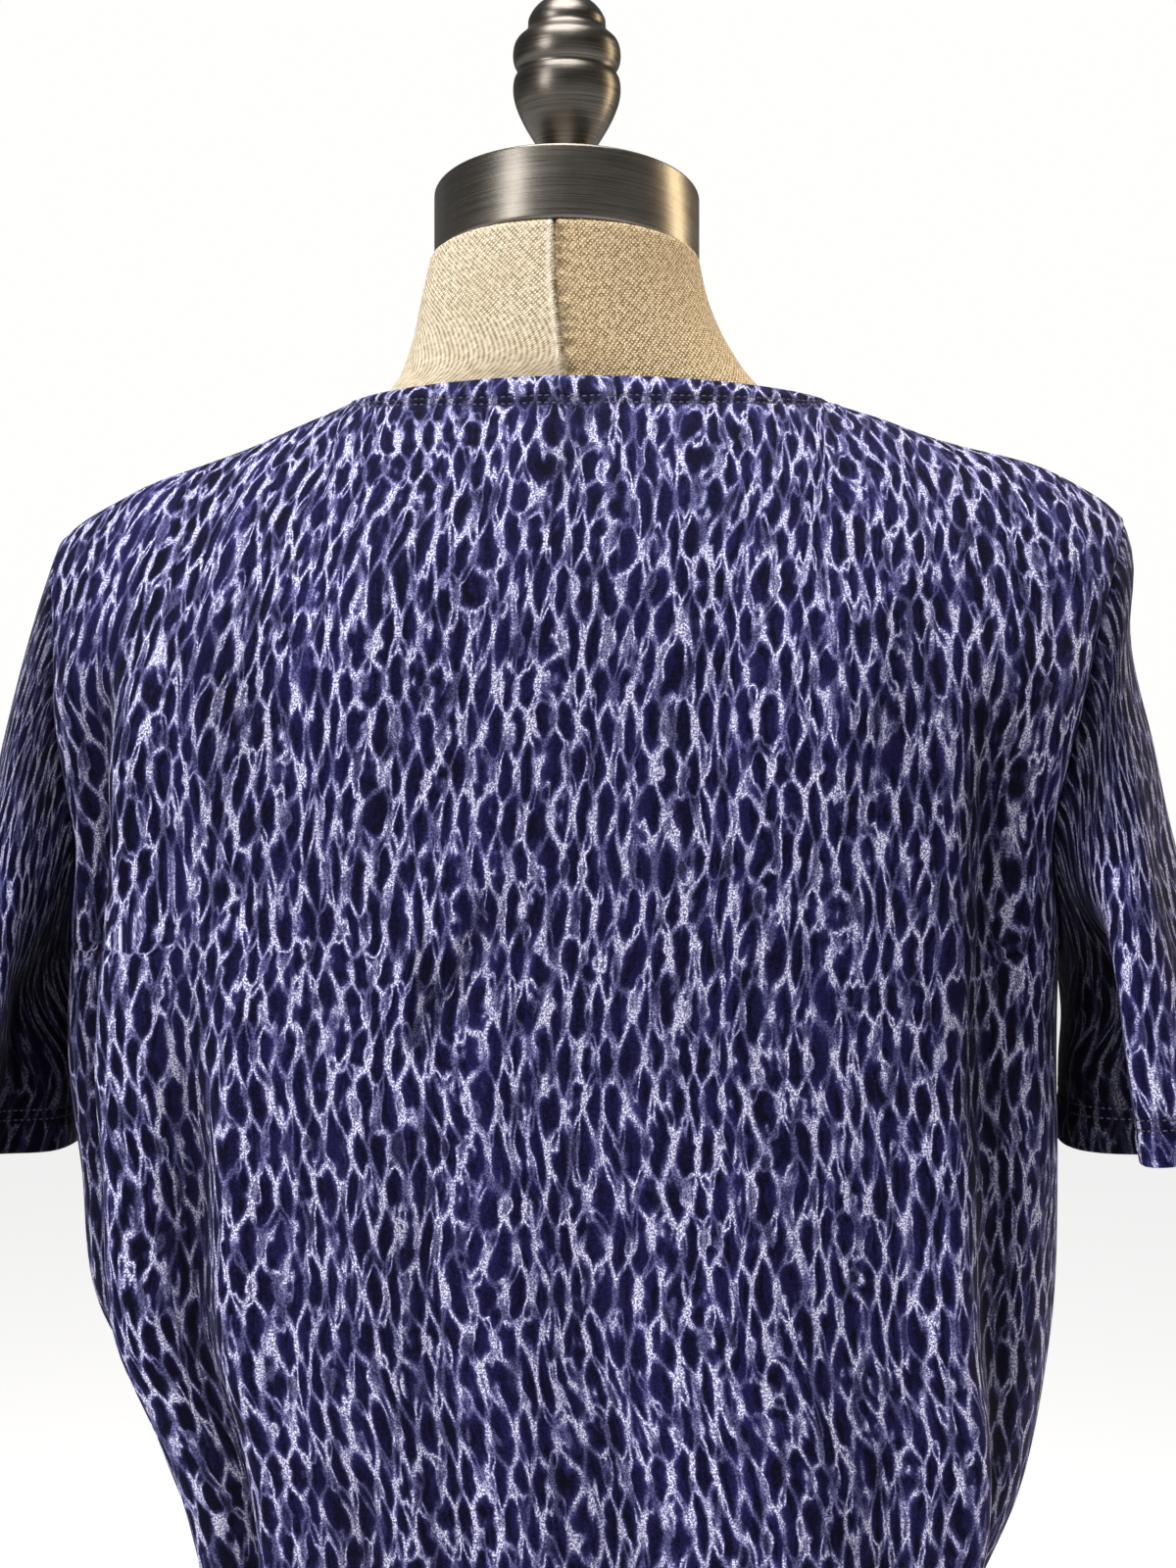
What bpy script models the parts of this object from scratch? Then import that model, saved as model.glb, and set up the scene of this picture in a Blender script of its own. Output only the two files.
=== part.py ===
"""Short-sleeved velour tunic resting on a limbless dress form with a turned finial.

Metres, +Z up. The wearer would face -Y, so the wearer's left is +X and the back is +Y.
The origin is the bottom centre of the stand's foot.
"""

from collections import namedtuple
from math import cos, pi, radians, sin, tan

import bmesh
import bpy
import numpy as np

# Sides and faces of the garment
LEFT, RIGHT = 1, -1
BACK, FRONT = 1, -1

# Cloth
WALL = 0.002
HEM_WALL = 0.0034
SEAM_GAP = 0.0003

# Garment heights and widths
HEM_Z = 0.700
UNDERARM_Z = 1.163
NECK_X = -0.0105
NECK_HALF = 0.100
BACK_NECK_Z = 1.3974
FRONT_NECK_DROP = 0.092
TIP_OUT = 0.2235
NECK_SHARE = 0.40
HEM_TURN = 0.022
NECK_TURN = 0.012

# How the cloth rounds over the shoulders, from the ridge down to the hanging plane
SHOULDER_ROUND = {BACK: 0.130, FRONT: 0.150}
RIDGE_ARCH = 0.027
ARMHOLE_DEPTH = {BACK: 0.060, FRONT: 0.062}
ARMHOLE_SQUARE = 2.4

# Low down the armhole cuts across the panel's round side; higher up the panel's whole
# edge stands out from the middle, and runs on more softly into the sleeve
CUT_BELOW = 0.15
STAND_ABOVE = 0.60
SOFT_FROM = 0.30
SOFT_TO = 0.70
SOFT_EDGE = 1.3
SETTLE = 0.200
SEAM_FADE = 0.020
MITRE_FACING = 0.5

# Grid of each panel and sleeve
COLUMNS = 40
LOW_ROWS = 12
HIGH_ROWS = 12
SLEEVE_ROWS = 10
SECTION_STEPS = 61
SHARE_SLACK = 1e-9

BodyRow = namedtuple("BodyRow", "z left right back front corner")
BODY = [
    BodyRow(0.700, 0.158, 0.172, 0.150, 0.165, 2.2),
    BodyRow(0.780, 0.146, 0.163, 0.146, 0.160, 2.2),
    BodyRow(0.850, 0.1415, 0.164, 0.140, 0.157, 2.2),
    BodyRow(0.893, 0.1435, 0.1735, 0.134, 0.155, 2.3),
    BodyRow(0.938, 0.156, 0.192, 0.127, 0.152, 2.4),
    BodyRow(0.975, 0.1745, 0.200, 0.121, 0.149, 2.5),
    BodyRow(1.006, 0.1945, 0.2045, 0.117, 0.147, 2.6),
    BodyRow(1.073, 0.2050, 0.2075, 0.115, 0.143, 2.7),
    BodyRow(1.120, 0.2100, 0.2068, 0.114, 0.141, 2.7),
    BodyRow(1.163, 0.2085, 0.2080, 0.113, 0.138, 2.7),
    BodyRow(1.200, 0.2085, 0.2110, 0.112, 0.134, 2.7),
    BodyRow(1.250, 0.2060, 0.2120, 0.110, 0.126, 2.8),
    BodyRow(1.290, 0.2065, 0.2175, 0.108, 0.117, 2.8),
    BodyRow(1.320, 0.2105, 0.2262, 0.106, 0.108, 2.6),
    BodyRow(1.345, 0.2132, 0.2340, 0.104, 0.104, 2.4),
    BodyRow(1.400, 0.2132, 0.2340, 0.104, 0.104, 2.4),
]

# Height of the shoulder line at a distance out from the middle of the neck
ShoulderRow = namedtuple("ShoulderRow", "out left right")
SHOULDER = [
    ShoulderRow(0.100, 1.3958, 1.3944),
    ShoulderRow(0.125, 1.3851, 1.3859),
    ShoulderRow(0.150, 1.3752, 1.3769),
    ShoulderRow(0.175, 1.3661, 1.3698),
    ShoulderRow(0.193, 1.3594, 1.3639),
    ShoulderRow(0.207, 1.3520, 1.3565),
    ShoulderRow(0.217, 1.3455, 1.3495),
    ShoulderRow(0.2235, 1.3400, 1.3432),
]

# Ridges (depth above 0) and troughs: top and bottom as (cloth distance from the panel's
# centre line, height), how far the fold stands out, its half-width and its fading length
FoldRow = namedtuple("FoldRow", "face top_s top_z low_s low_z depth width fade")
FOLDS = [
    FoldRow(BACK, 0.116, 1.200, 0.136, 0.700, 0.007, 0.013, 0.10),
    FoldRow(BACK, 0.138, 1.180, 0.160, 0.700, -0.010, 0.013, 0.12),
    FoldRow(BACK, 0.176, 1.290, 0.182, 0.700, 0.008, 0.014, 0.06),
    FoldRow(BACK, 0.200, 1.300, 0.206, 0.860, -0.011, 0.013, 0.05),
    FoldRow(BACK, -0.160, 1.130, -0.158, 0.700, 0.008, 0.013, 0.12),
    FoldRow(BACK, -0.184, 1.290, -0.188, 0.700, -0.009, 0.014, 0.06),
    FoldRow(BACK, -0.050, 1.140, -0.062, 0.700, 0.004, 0.030, 0.20),
    FoldRow(BACK, 0.045, 1.250, 0.050, 0.700, 0.003, 0.028, 0.20),
    FoldRow(BACK, -0.005, 1.100, -0.008, 0.700, -0.004, 0.026, 0.25),
    FoldRow(BACK, -0.112, 1.050, -0.112, 0.700, -0.005, 0.022, 0.20),
    FoldRow(FRONT, 0.085, 1.120, 0.100, 0.700, 0.009, 0.018, 0.15),
    FoldRow(FRONT, 0.128, 1.100, 0.142, 0.700, -0.010, 0.016, 0.15),
    FoldRow(FRONT, 0.165, 1.240, 0.176, 0.700, 0.008, 0.015, 0.08),
    FoldRow(FRONT, 0.020, 1.060, 0.034, 0.700, -0.007, 0.024, 0.20),
    FoldRow(FRONT, -0.030, 1.000, -0.030, 0.700, 0.006, 0.022, 0.20),
    FoldRow(FRONT, -0.092, 1.130, -0.088, 0.700, 0.008, 0.017, 0.15),
    FoldRow(FRONT, -0.130, 1.110, -0.128, 0.700, -0.009, 0.016, 0.15),
    FoldRow(FRONT, -0.166, 1.230, -0.166, 0.700, 0.008, 0.015, 0.08),
]

# Each sleeve's upper arm line and underarm line, and how deep it is back and front
SleeveRow = namedtuple("SleeveRow", "t out_x out_z in_x in_z back front")
SLEEVES = {
    LEFT: [
        SleeveRow(0.00, 0.2135, 1.3400, 0.2088, 1.163, 0.062, 0.068),
        SleeveRow(0.07, 0.2175, 1.3270, 0.2094, 1.157, 0.063, 0.069),
        SleeveRow(0.14, 0.2228, 1.3090, 0.2100, 1.151, 0.064, 0.070),
        SleeveRow(0.34, 0.2365, 1.2556, 0.2118, 1.135, 0.067, 0.073),
        SleeveRow(0.67, 0.2580, 1.1680, 0.2140, 1.106, 0.070, 0.077),
        SleeveRow(1.00, 0.2830, 1.0800, 0.2160, 1.074, 0.072, 0.080),
    ],
    RIGHT: [
        SleeveRow(0.00, 0.2340, 1.3432, 0.2083, 1.163, 0.062, 0.068),
        SleeveRow(0.07, 0.2380, 1.3270, 0.2096, 1.158, 0.063, 0.069),
        SleeveRow(0.14, 0.2364, 1.3040, 0.2107, 1.153, 0.064, 0.070),
        SleeveRow(0.34, 0.2465, 1.2480, 0.2122, 1.138, 0.067, 0.073),
        SleeveRow(0.67, 0.2650, 1.1680, 0.2112, 1.111, 0.070, 0.077),
        SleeveRow(1.00, 0.2870, 1.0850, 0.2097, 1.081, 0.072, 0.080),
    ],
}
SLEEVE_SQUARE = 2.2
SLEEVE_ROW_SPREAD = 1.3
ARMHOLE_SHAPE_ENDS = 0.5
SLEEVE_FOLD_GROWTH = 0.4

# Folds of the sleeves: place round the arm (0 outer, 90 back, 180 underarm, 270 front)
SleeveFold = namedtuple("SleeveFold", "side degrees depth width start")
SLEEVE_FOLDS = [
    SleeveFold(LEFT, 128, -0.007, 16, 0.075),
    SleeveFold(LEFT, 96, 0.004, 16, 0.10),
    SleeveFold(LEFT, 52, -0.004, 18, 0.15),
    SleeveFold(LEFT, 232, -0.006, 16, 0.10),
    SleeveFold(LEFT, 300, 0.004, 18, 0.15),
    SleeveFold(RIGHT, 130, -0.012, 16, 0.06),
    SleeveFold(RIGHT, 98, 0.005, 15, 0.075),
    SleeveFold(RIGHT, 55, -0.004, 18, 0.15),
    SleeveFold(RIGHT, 235, -0.007, 16, 0.10),
    SleeveFold(RIGHT, 305, 0.004, 18, 0.15),
]

# Dress form, from the torso's base up to the neck's top
NECK_Y = -0.012
CAP_RADIUS = 0.0575
CAP_TILT = radians(9)
FormRow = namedtuple("FormRow", "z half back front corner lean")
FORM = [
    FormRow(0.800, 0.128, 0.096, 0.094, 2.3, -0.003),
    FormRow(0.812, 0.133, 0.102, 0.099, 2.3, -0.003),
    FormRow(0.850, 0.135, 0.104, 0.100, 2.3, -0.003),
    FormRow(0.900, 0.131, 0.099, 0.093, 2.2, -0.003),
    FormRow(0.985, 0.117, 0.079, 0.084, 2.2, -0.002),
    FormRow(1.060, 0.128, 0.083, 0.104, 2.2, -0.002),
    FormRow(1.110, 0.140, 0.088, 0.124, 2.2, -0.002),
    FormRow(1.150, 0.148, 0.092, 0.127, 2.2, -0.002),
    FormRow(1.200, 0.158, 0.095, 0.117, 2.2, -0.003),
    FormRow(1.250, 0.170, 0.096, 0.100, 2.2, -0.004),
    FormRow(1.290, 0.181, 0.089, 0.084, 2.1, -0.004),
    FormRow(1.320, 0.187, 0.076, 0.068, 2.0, -0.004),
    FormRow(1.340, 0.185, 0.063, 0.056, 2.0, -0.004),
    FormRow(1.354, 0.181, 0.053, 0.048, 2.0, -0.004),
    FormRow(1.3621, 0.1705, 0.046, 0.043, 2.0, -0.004),
    FormRow(1.3712, 0.1440, 0.044, 0.042, 2.0, -0.004),
    FormRow(1.3809, 0.1165, 0.044, 0.044, 2.0, -0.004),
    FormRow(1.390, 0.0930, 0.046, 0.049, 2.0, -0.004),
    FormRow(1.402, 0.0785, 0.046, 0.054, 2.0, -0.004),
    FormRow(1.418, 0.0685, 0.045, 0.060, 2.0, -0.002),
    FormRow(1.436, 0.0620, 0.045, 0.066, 2.0, 0.0),
    FormRow(1.455, 0.0575, 0.0455, 0.0695, 2.0, 0.0),
]
FORM_SIDES = 32
NECK_TILT_FROM = 1.400

# Neck cap, finial (depth below its top, radius) and stand (height, radius)
TURN_STEPS = 28
CAP_HEIGHT = 0.031
CAP_ROUND = 0.0025
FINIAL_TOP = 1.576
PROFILE = [(0.090, 0.0140), (0.086, 0.0132), (0.078, 0.0088), (0.070, 0.0112),
           (0.065, 0.0143), (0.057, 0.0190), (0.052, 0.0213), (0.0475, 0.0228),
           (0.0425, 0.0234), (0.0380, 0.0228), (0.0350, 0.0215), (0.0320, 0.0228),
           (0.0270, 0.0234), (0.0210, 0.0215), (0.0170, 0.0174), (0.0120, 0.0166),
           (0.0060, 0.0125), (0.0018, 0.0068)]
PLATE_RADIUS = 0.070
PLATE_HEIGHT = 0.010
POLE_RADIUS = 0.0125
FOOT = [(0.0, 0.170), (0.008, 0.170), (0.018, 0.158), (0.021, 0.0325), (0.026, 0.026),
        (0.040, 0.0235)]

# Colour, roughness and metallic value of each material
MATERIALS = {
    "velour": ((0.045, 0.040, 0.150, 1.0), 0.85, 0.0),
    "linen": ((0.60, 0.50, 0.37, 1.0), 0.85, 0.0),
    "nickel": ((0.42, 0.39, 0.36, 1.0), 0.30, 1.0),
}


def clear_scene():
    for item in list(bpy.data.objects):
        bpy.data.objects.remove(item)


def material(name):
    found = bpy.data.materials.get(name)
    if found:
        return found
    colour, roughness, metallic = MATERIALS[name]
    made = bpy.data.materials.new(name)
    made.use_nodes = True
    shader = made.node_tree.nodes["Principled BSDF"]
    shader.inputs["Base Color"].default_value = colour
    shader.inputs["Roughness"].default_value = roughness
    shader.inputs["Metallic"].default_value = metallic
    made.diffuse_color = colour
    return made


def add_object(name, bm, material_name):
    """Turn a finished bmesh into one named, smooth-shaded object."""
    bmesh.ops.recalc_face_normals(bm, faces=bm.faces)
    if bm.calc_volume(signed=True) < 0:
        bmesh.ops.reverse_faces(bm, faces=bm.faces)
    mesh = bpy.data.meshes.new(name)
    bm.to_mesh(mesh)
    bm.free()
    mesh.shade_smooth()
    mesh.set_sharp_from_angle(angle=radians(40))
    mesh.materials.append(material(material_name))
    made = bpy.data.objects.new(name, mesh)
    bpy.context.scene.collection.objects.link(made)
    return made


def smooth_curve(places, values):
    """A smooth curve through a table's column, level beyond its ends."""
    places = np.array(places)
    values = np.array(values)
    slopes = np.gradient(values, places)

    def value(place):
        place = np.clip(place, places[0], places[-1])
        i = np.clip(np.searchsorted(places, place) - 1, 0, len(places) - 2)
        span = places[i + 1] - places[i]
        t = (place - places[i]) / span
        start = (1 + 2 * t) * (1 - t) ** 2 * values[i] + t * (1 - t) ** 2 * span * slopes[i]
        end = t * t * (3 - 2 * t) * values[i + 1] - t * t * (1 - t) * span * slopes[i + 1]
        return start + end

    return value


def columns(rows, key):
    """One smooth curve for each other column of a table, against its key column."""
    places = [getattr(row, key) for row in rows]
    return {name: smooth_curve(places, [getattr(row, name) for row in rows])
            for name in rows[0]._fields if name != key}


def ease(value):
    value = np.clip(value, 0, 1)
    return value * value * (3 - 2 * value)


def unit(vectors):
    return vectors / np.linalg.norm(vectors, axis=-1, keepdims=True)


body = columns(BODY, "z")
shoulder = columns(SHOULDER, "out")


def shoulder_z(x):
    """Height of the shoulder line above x, carried across the neck as a low arch."""
    out = np.abs(x - NECK_X)
    slope = np.where(x > NECK_X, shoulder["left"](out), shoulder["right"](out))
    arch = RIDGE_ARCH * np.cos(pi / 2 * np.minimum(out / NECK_HALF, 1))
    return slope + arch


def tip_z(side):
    return SHOULDER[-1].left if side == LEFT else SHOULDER[-1].right


def rise_to(top, z):
    """0 at the underarm, 1 at a height on the shoulder."""
    return np.clip((z - UNDERARM_Z) / (top - UNDERARM_Z), 0, 1)


def stand_off(face, top, z):
    """How far an armhole that reaches up to top stands off the plane between the panels."""
    oval = 1 - np.abs(2 * rise_to(top, z) - 1) ** ARMHOLE_SQUARE
    return ARMHOLE_DEPTH[face] * oval ** (1 / ARMHOLE_SQUARE)


def section(face, side, z, theta):
    """Plain torso surface; theta is 0 at the centre line and 90 degrees at the edge."""
    centre = (body["left"](z) - body["right"](z)) / 2
    half = (body["left"](z) + body["right"](z)) / 2
    corner = body["corner"](z)
    x = centre + side * half * np.sin(theta) ** (2 / corner)
    rise = rise_to(shoulder_z(x), z)
    stand = ease((rise - CUT_BELOW) / (STAND_ABOVE - CUT_BELOW))
    edge_y = stand_off(face, shoulder_z(x), z) * stand
    soft = corner + (SOFT_EDGE - corner) * ease((rise - SOFT_FROM) / (SOFT_TO - SOFT_FROM))
    depth = body["back" if face == BACK else "front"](z)
    below = np.clip((shoulder_z(x) - z) / SHOULDER_ROUND[face], 0, 1)
    full = depth * np.sqrt(1 - (1 - below) ** 2)
    y = edge_y + (full - edge_y) * np.maximum(np.cos(theta), 0) ** (2 / soft)
    return np.stack([x, face * (y + SEAM_GAP / 2), np.zeros_like(x) + z], axis=-1)


def top_edge(face, share):
    """Where a column ends: on the neckline or on the shoulder seam, as x and z."""
    side = LEFT if share >= 0 else RIGHT
    across = abs(share) / NECK_SHARE
    if across >= 1:
        out = NECK_HALF + (TIP_OUT - NECK_HALF) * (abs(share) - NECK_SHARE) / (1 - NECK_SHARE)
        x = NECK_X + side * out
        return x, float(shoulder_z(x))
    x = NECK_X + side * NECK_HALF * sin(pi / 2 * across)
    point_z = SHOULDER[0].left if side == LEFT else SHOULDER[0].right
    if face == BACK:
        return x, point_z + (BACK_NECK_Z - point_z) * cos(pi / 2 * across) ** 2
    return x, point_z - FRONT_NECK_DROP * cos(pi / 2 * across) ** 2


def column_angle(face, share, z, top_x, top_z):
    """Even spacing along the cloth low down, turning to the top edge's own spacing."""
    side = LEFT if share >= 0 else RIGHT
    sweep = np.linspace(0, pi / 2, SECTION_STEPS)
    line = section(face, side, z, sweep)
    run = np.concatenate([[0], np.cumsum(np.linalg.norm(np.diff(line, axis=0), axis=1))])
    limit = stand_off(face, tip_z(side), z) + SEAM_GAP / 2
    last = np.interp(-limit, -face * line[:, 1], sweep)
    if abs(share) == 1:
        return last
    even = np.interp(abs(share) * np.interp(last, sweep, run), run, sweep)
    centre = (body["left"](z) - body["right"](z)) / 2
    half = (body["left"](z) + body["right"](z)) / 2
    across = np.clip(side * (top_x - centre) / half, 0, 1)
    top = np.arcsin(across ** (body["corner"](z) / 2)) * last / (pi / 2)
    return even + (top - even) * ease((z - top_z + SETTLE) / SETTLE)


def row_heights(top_z):
    """Even rows up to the underarm, then rows that close up at both ends."""
    low = [HEM_Z] + list(np.linspace(HEM_Z + HEM_TURN, UNDERARM_Z, LOW_ROWS - 1))
    high = [UNDERARM_Z + (top_z - UNDERARM_Z) * (1 - cos(pi * j / HIGH_ROWS)) / 2
            for j in range(1, HIGH_ROWS + 1)]
    return np.array(low + high)


def panel_normals(points, face):
    """Outward directions, kept square to the seams in the plane between the panels."""
    across = np.gradient(points, axis=1)
    along = np.gradient(points, axis=0)
    normals = unit(face * np.cross(along, across))
    shares = np.linspace(-1, 1, COLUMNS + 1)
    on_shoulder = np.abs(shares) >= NECK_SHARE - SHARE_SLACK
    normals[-1, on_shoulder, 1] = 0
    for edge in (0, -1):
        normals[:LOW_ROWS, edge, 1] = 0
    return unit(normals)


def fold_height(face, s, z):
    """How far the folds move the cloth at a distance s from the centre line."""
    total = np.zeros_like(z)
    for fold in FOLDS:
        if fold.face != face:
            continue
        down = np.clip((fold.top_z - z) / (fold.top_z - fold.low_z), 0, 1)
        middle = fold.top_s + (fold.low_s - fold.top_s) * down
        starts = ease((fold.top_z - z) / fold.fade)
        ends = 1.0 if fold.low_z <= HEM_Z else ease((z - fold.low_z) / fold.fade)
        total += fold.depth * starts * ends * np.exp(-((s - middle) / fold.width) ** 2)
    return total


def panel_points(face):
    shares = np.linspace(-1, 1, COLUMNS + 1)
    points = np.zeros((LOW_ROWS + HIGH_ROWS, COLUMNS + 1, 3))
    for i, share in enumerate(shares):
        side = LEFT if share >= 0 else RIGHT
        top_x, top_z = top_edge(face, share)
        for j, z in enumerate(row_heights(top_z)):
            theta = column_angle(face, share, z, top_x, top_z)
            points[j, i] = section(face, side, z, np.array([theta]))[0]
    steps = np.linalg.norm(np.diff(points, axis=1), axis=2)
    run = np.concatenate([np.zeros((len(points), 1)), np.cumsum(steps, axis=1)], axis=1)
    s = run - run[:, COLUMNS // 2: COLUMNS // 2 + 1]
    from_edge = np.minimum(run, run[:, -1:] - run)
    below_top = points[-1:, :, 2] - points[:, :, 2]
    calm = ease(from_edge / SEAM_FADE) * ease(below_top / SEAM_FADE)
    height = fold_height(face, s, points[:, :, 2]) * calm
    return points + height[..., None] * panel_normals(points, face)


def panel_wall(points):
    """Thickness over a panel: turned hems are two layers."""
    wall = np.full(points.shape[:2], WALL)
    wall[:2] = HEM_WALL
    shares = np.linspace(-1, 1, COLUMNS + 1)
    in_neck = np.abs(shares) < NECK_SHARE - SHARE_SLACK
    near_top = points[-1:, :, 2] - points[:, :, 2] < NECK_TURN
    wall[near_top & in_neck[None, :]] = HEM_WALL
    return wall


def armhole_ring(side, panels):
    """The two panels' armhole edges as one loop: tip, back, underarm, front."""
    column = -1 if side == LEFT else 0
    back = panels[BACK][LOW_ROWS - 1:, column]
    front = panels[FRONT][LOW_ROWS - 1:, column]
    ring = np.concatenate([back[::-1], front[1:-1]])
    ring[0] = (back[-1] + front[-1]) / 2
    ring[HIGH_ROWS] = (back[0] + front[0]) / 2
    return ring


def sleeve_oval(curves, side, t, angles):
    """One loop of a plain sleeve."""
    outer = np.array([side * curves["out_x"](t), 0, curves["out_z"](t)])
    inner = np.array([side * curves["in_x"](t), 0, curves["in_z"](t)])
    power = 2 / SLEEVE_SQUARE
    along = np.sign(np.cos(angles)) * np.abs(np.cos(angles)) ** power
    around = np.sign(np.sin(angles)) * np.abs(np.sin(angles)) ** power
    depth = np.where(around > 0, curves["back"](t), curves["front"](t))
    loop = (outer + inner) / 2 + along[:, None] * (outer - inner) / 2
    loop[:, 1] = around * depth
    return loop


def sleeve_normals(points, side):
    around = np.roll(points, -1, axis=1) - np.roll(points, 1, axis=1)
    along = np.gradient(points, axis=0)
    return unit(side * np.cross(along, around))


def sleeve_points(side, panels):
    curves = columns(SLEEVES[side], "t")
    count = 2 * HIGH_ROWS
    angles = np.arange(count) * 2 * pi / count
    drift = armhole_ring(side, panels) - sleeve_oval(curves, side, 0, angles)
    steps = np.linspace(0, 1, SLEEVE_ROWS) ** SLEEVE_ROW_SPREAD
    ovals = np.array([sleeve_oval(curves, side, t, angles) for t in steps])
    share = np.maximum(1 - steps / ARMHOLE_SHAPE_ENDS, 0) ** 2
    points = ovals + share[:, None, None] * drift
    height = np.zeros(points.shape[:2])
    for fold in SLEEVE_FOLDS:
        if fold.side != side:
            continue
        apart = np.degrees(angles)[None, :] - fold.degrees
        shape = np.exp(-(apart / fold.width) ** 2)
        height += fold.depth * shape * ease((steps[:, None] - fold.start) / SLEEVE_FOLD_GROWTH)
    return points + height[..., None] * sleeve_normals(points, side)


def mitre(panel_side, sleeve_side):
    """Edge directions that both pieces share where the cloth runs on or turns down."""
    facing = np.sum(panel_side * sleeve_side, axis=-1, keepdims=True)
    shared = ease(facing / MITRE_FACING)
    return unit(panel_side + shared * sleeve_side), unit(sleeve_side + shared * panel_side)


def meet_sleeve(side, panel_dirs, sleeve_dirs):
    """Let a sleeve's first loop and the two armhole edges share their edge directions."""
    column = -1 if side == LEFT else 0
    for j in range(2 * HIGH_ROWS):
        faces = [BACK] if j < HIGH_ROWS else [FRONT]
        if j in (0, HIGH_ROWS):
            faces = [BACK, FRONT]
        row = LOW_ROWS + HIGH_ROWS - 1 - j if j <= HIGH_ROWS else LOW_ROWS - 1 + j - HIGH_ROWS
        near = unit(sum(panel_dirs[face][row, column] for face in faces))
        panel_edge, sleeve_edge = mitre(near, sleeve_dirs[0, j])
        if len(faces) == 2:
            panel_edge[1] = 0
            sleeve_edge[1] = 0
        for face in faces:
            panel_dirs[face][row, column] = unit(panel_edge)
        sleeve_dirs[0, j] = unit(sleeve_edge)


def part_seam(side, points, directions):
    """Leave the same clear gap all round the armhole, however the seam slants."""
    along = np.roll(points[0], -1, axis=0) - np.roll(points[0], 1, axis=0)
    rim = np.abs(unit(np.cross(along, directions[0]))[:, 0])
    facing = np.maximum(rim, np.abs(directions[0, :, 0]))
    points[0, :, 0] += side * SEAM_GAP / facing


def give_wall(bm, outer, inner):
    """Close a sheet into a thin wall: copy it, move the copy in and join the rims."""
    order = bm.verts.layers.int.new("order")
    for vertex in bm.verts:
        vertex[order] = vertex.index
    made = bmesh.ops.extrude_face_region(bm, geom=list(bm.faces), use_keep_orig=True)
    copies = {part for part in made["geom"] if isinstance(part, bmesh.types.BMVert)}
    for vertex in bm.verts:
        place = inner if vertex in copies else outer
        vertex.co = place[vertex[order]]


def make_panel(name, points, directions, wall):
    bm = bmesh.new()
    rows, across = points.shape[:2]
    bmesh.ops.create_grid(bm, x_segments=across - 1, y_segments=rows - 1, size=1)
    bm.verts.ensure_lookup_table()
    bm.verts.index_update()
    inner = points - wall[..., None] * directions
    outer_list = []
    inner_list = []
    for vertex in bm.verts:
        i = round((vertex.co.x + 1) / 2 * (across - 1))
        j = round((vertex.co.y + 1) / 2 * (rows - 1))
        outer_list.append(points[j, i])
        inner_list.append(inner[j, i])
    give_wall(bm, outer_list, inner_list)
    return add_object(name, bm, "velour")


def ring_tube(bm, rings):
    """Extrude a loop ring by ring; returns the first and the last ring's edges."""
    count = len(rings[0])
    loop = bmesh.ops.create_circle(bm, segments=count, radius=1)["verts"]
    edges = list(bm.edges)
    for vertex, place in zip(loop, rings[0]):
        vertex.co = place
    first = edges
    for ring in rings[1:]:
        made = bmesh.ops.extrude_edge_only(bm, edges=edges)["geom"]
        edges = [part for part in made if isinstance(part, bmesh.types.BMEdge)]
        fresh = [part for part in made if isinstance(part, bmesh.types.BMVert)]
        for vertex, place in zip(fresh, ring):
            vertex.co = place
    return first, edges


def make_sleeve(name, points, directions):
    bm = bmesh.new()
    wall = np.full(points.shape[:2], WALL)
    wall[-2:] = HEM_WALL
    inner = points - wall[..., None] * directions
    ring_tube(bm, points)
    bm.verts.index_update()
    outer_list = points.reshape(-1, 3)
    give_wall(bm, outer_list, inner.reshape(-1, 3))
    return add_object(name, bm, "velour")


def make_tunic():
    panels = {face: panel_points(face) for face in (BACK, FRONT)}
    directions = {face: panel_normals(panels[face], face) for face in (BACK, FRONT)}
    for side, name in ((LEFT, "sleeve_left"), (RIGHT, "sleeve_right")):
        points = sleeve_points(side, panels)
        sleeve_dirs = sleeve_normals(points, side)
        meet_sleeve(side, directions, sleeve_dirs)
        part_seam(side, points, sleeve_dirs)
        make_sleeve(name, points, sleeve_dirs)
    for face, name in ((BACK, "back"), (FRONT, "front")):
        make_panel(name, panels[face], directions[face], panel_wall(panels[face]))


def neck_tilt(z, y):
    """The neck's top and the cap lean forward: higher at the back."""
    share = float(ease((z - NECK_TILT_FROM) / (FORM[-1].z - NECK_TILT_FROM)))
    return tan(CAP_TILT) * (y - NECK_Y) * share


def form_ring(row):
    power = 2 / row.corner
    ring = []
    for i in range(FORM_SIDES):
        angle = 2 * pi * i / FORM_SIDES
        across = np.sign(cos(angle)) * abs(cos(angle)) ** power
        deep = np.sign(sin(angle)) * abs(sin(angle)) ** power
        y = deep * (row.back if deep > 0 else row.front)
        ring.append((row.lean + row.half * across, y, row.z + neck_tilt(row.z, y)))
    return ring


def make_form():
    bm = bmesh.new()
    ends = ring_tube(bm, [form_ring(row) for row in FORM])
    for edges in ends:
        bmesh.ops.edgeloop_fill(bm, edges=edges)
    add_object("form_body", bm, "linen")


def turned(name, profile, centre_y=0.0, tilted=0, material_name="nickel"):
    """A turned solid from (height, radius) pairs; the first rings may be cut on the tilt."""
    rings = []
    for k, (z, radius) in enumerate(profile):
        ring = []
        for i in range(TURN_STEPS):
            angle = 2 * pi * i / TURN_STEPS
            y = radius * sin(angle)
            lift = tan(CAP_TILT) * y if k < tilted else 0.0
            ring.append((radius * cos(angle), centre_y + y, z + lift))
        rings.append(ring)
    bm = bmesh.new()
    for edges in ring_tube(bm, rings):
        bmesh.ops.edgeloop_fill(bm, edges=edges)
    add_object(name, bm, material_name)


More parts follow.
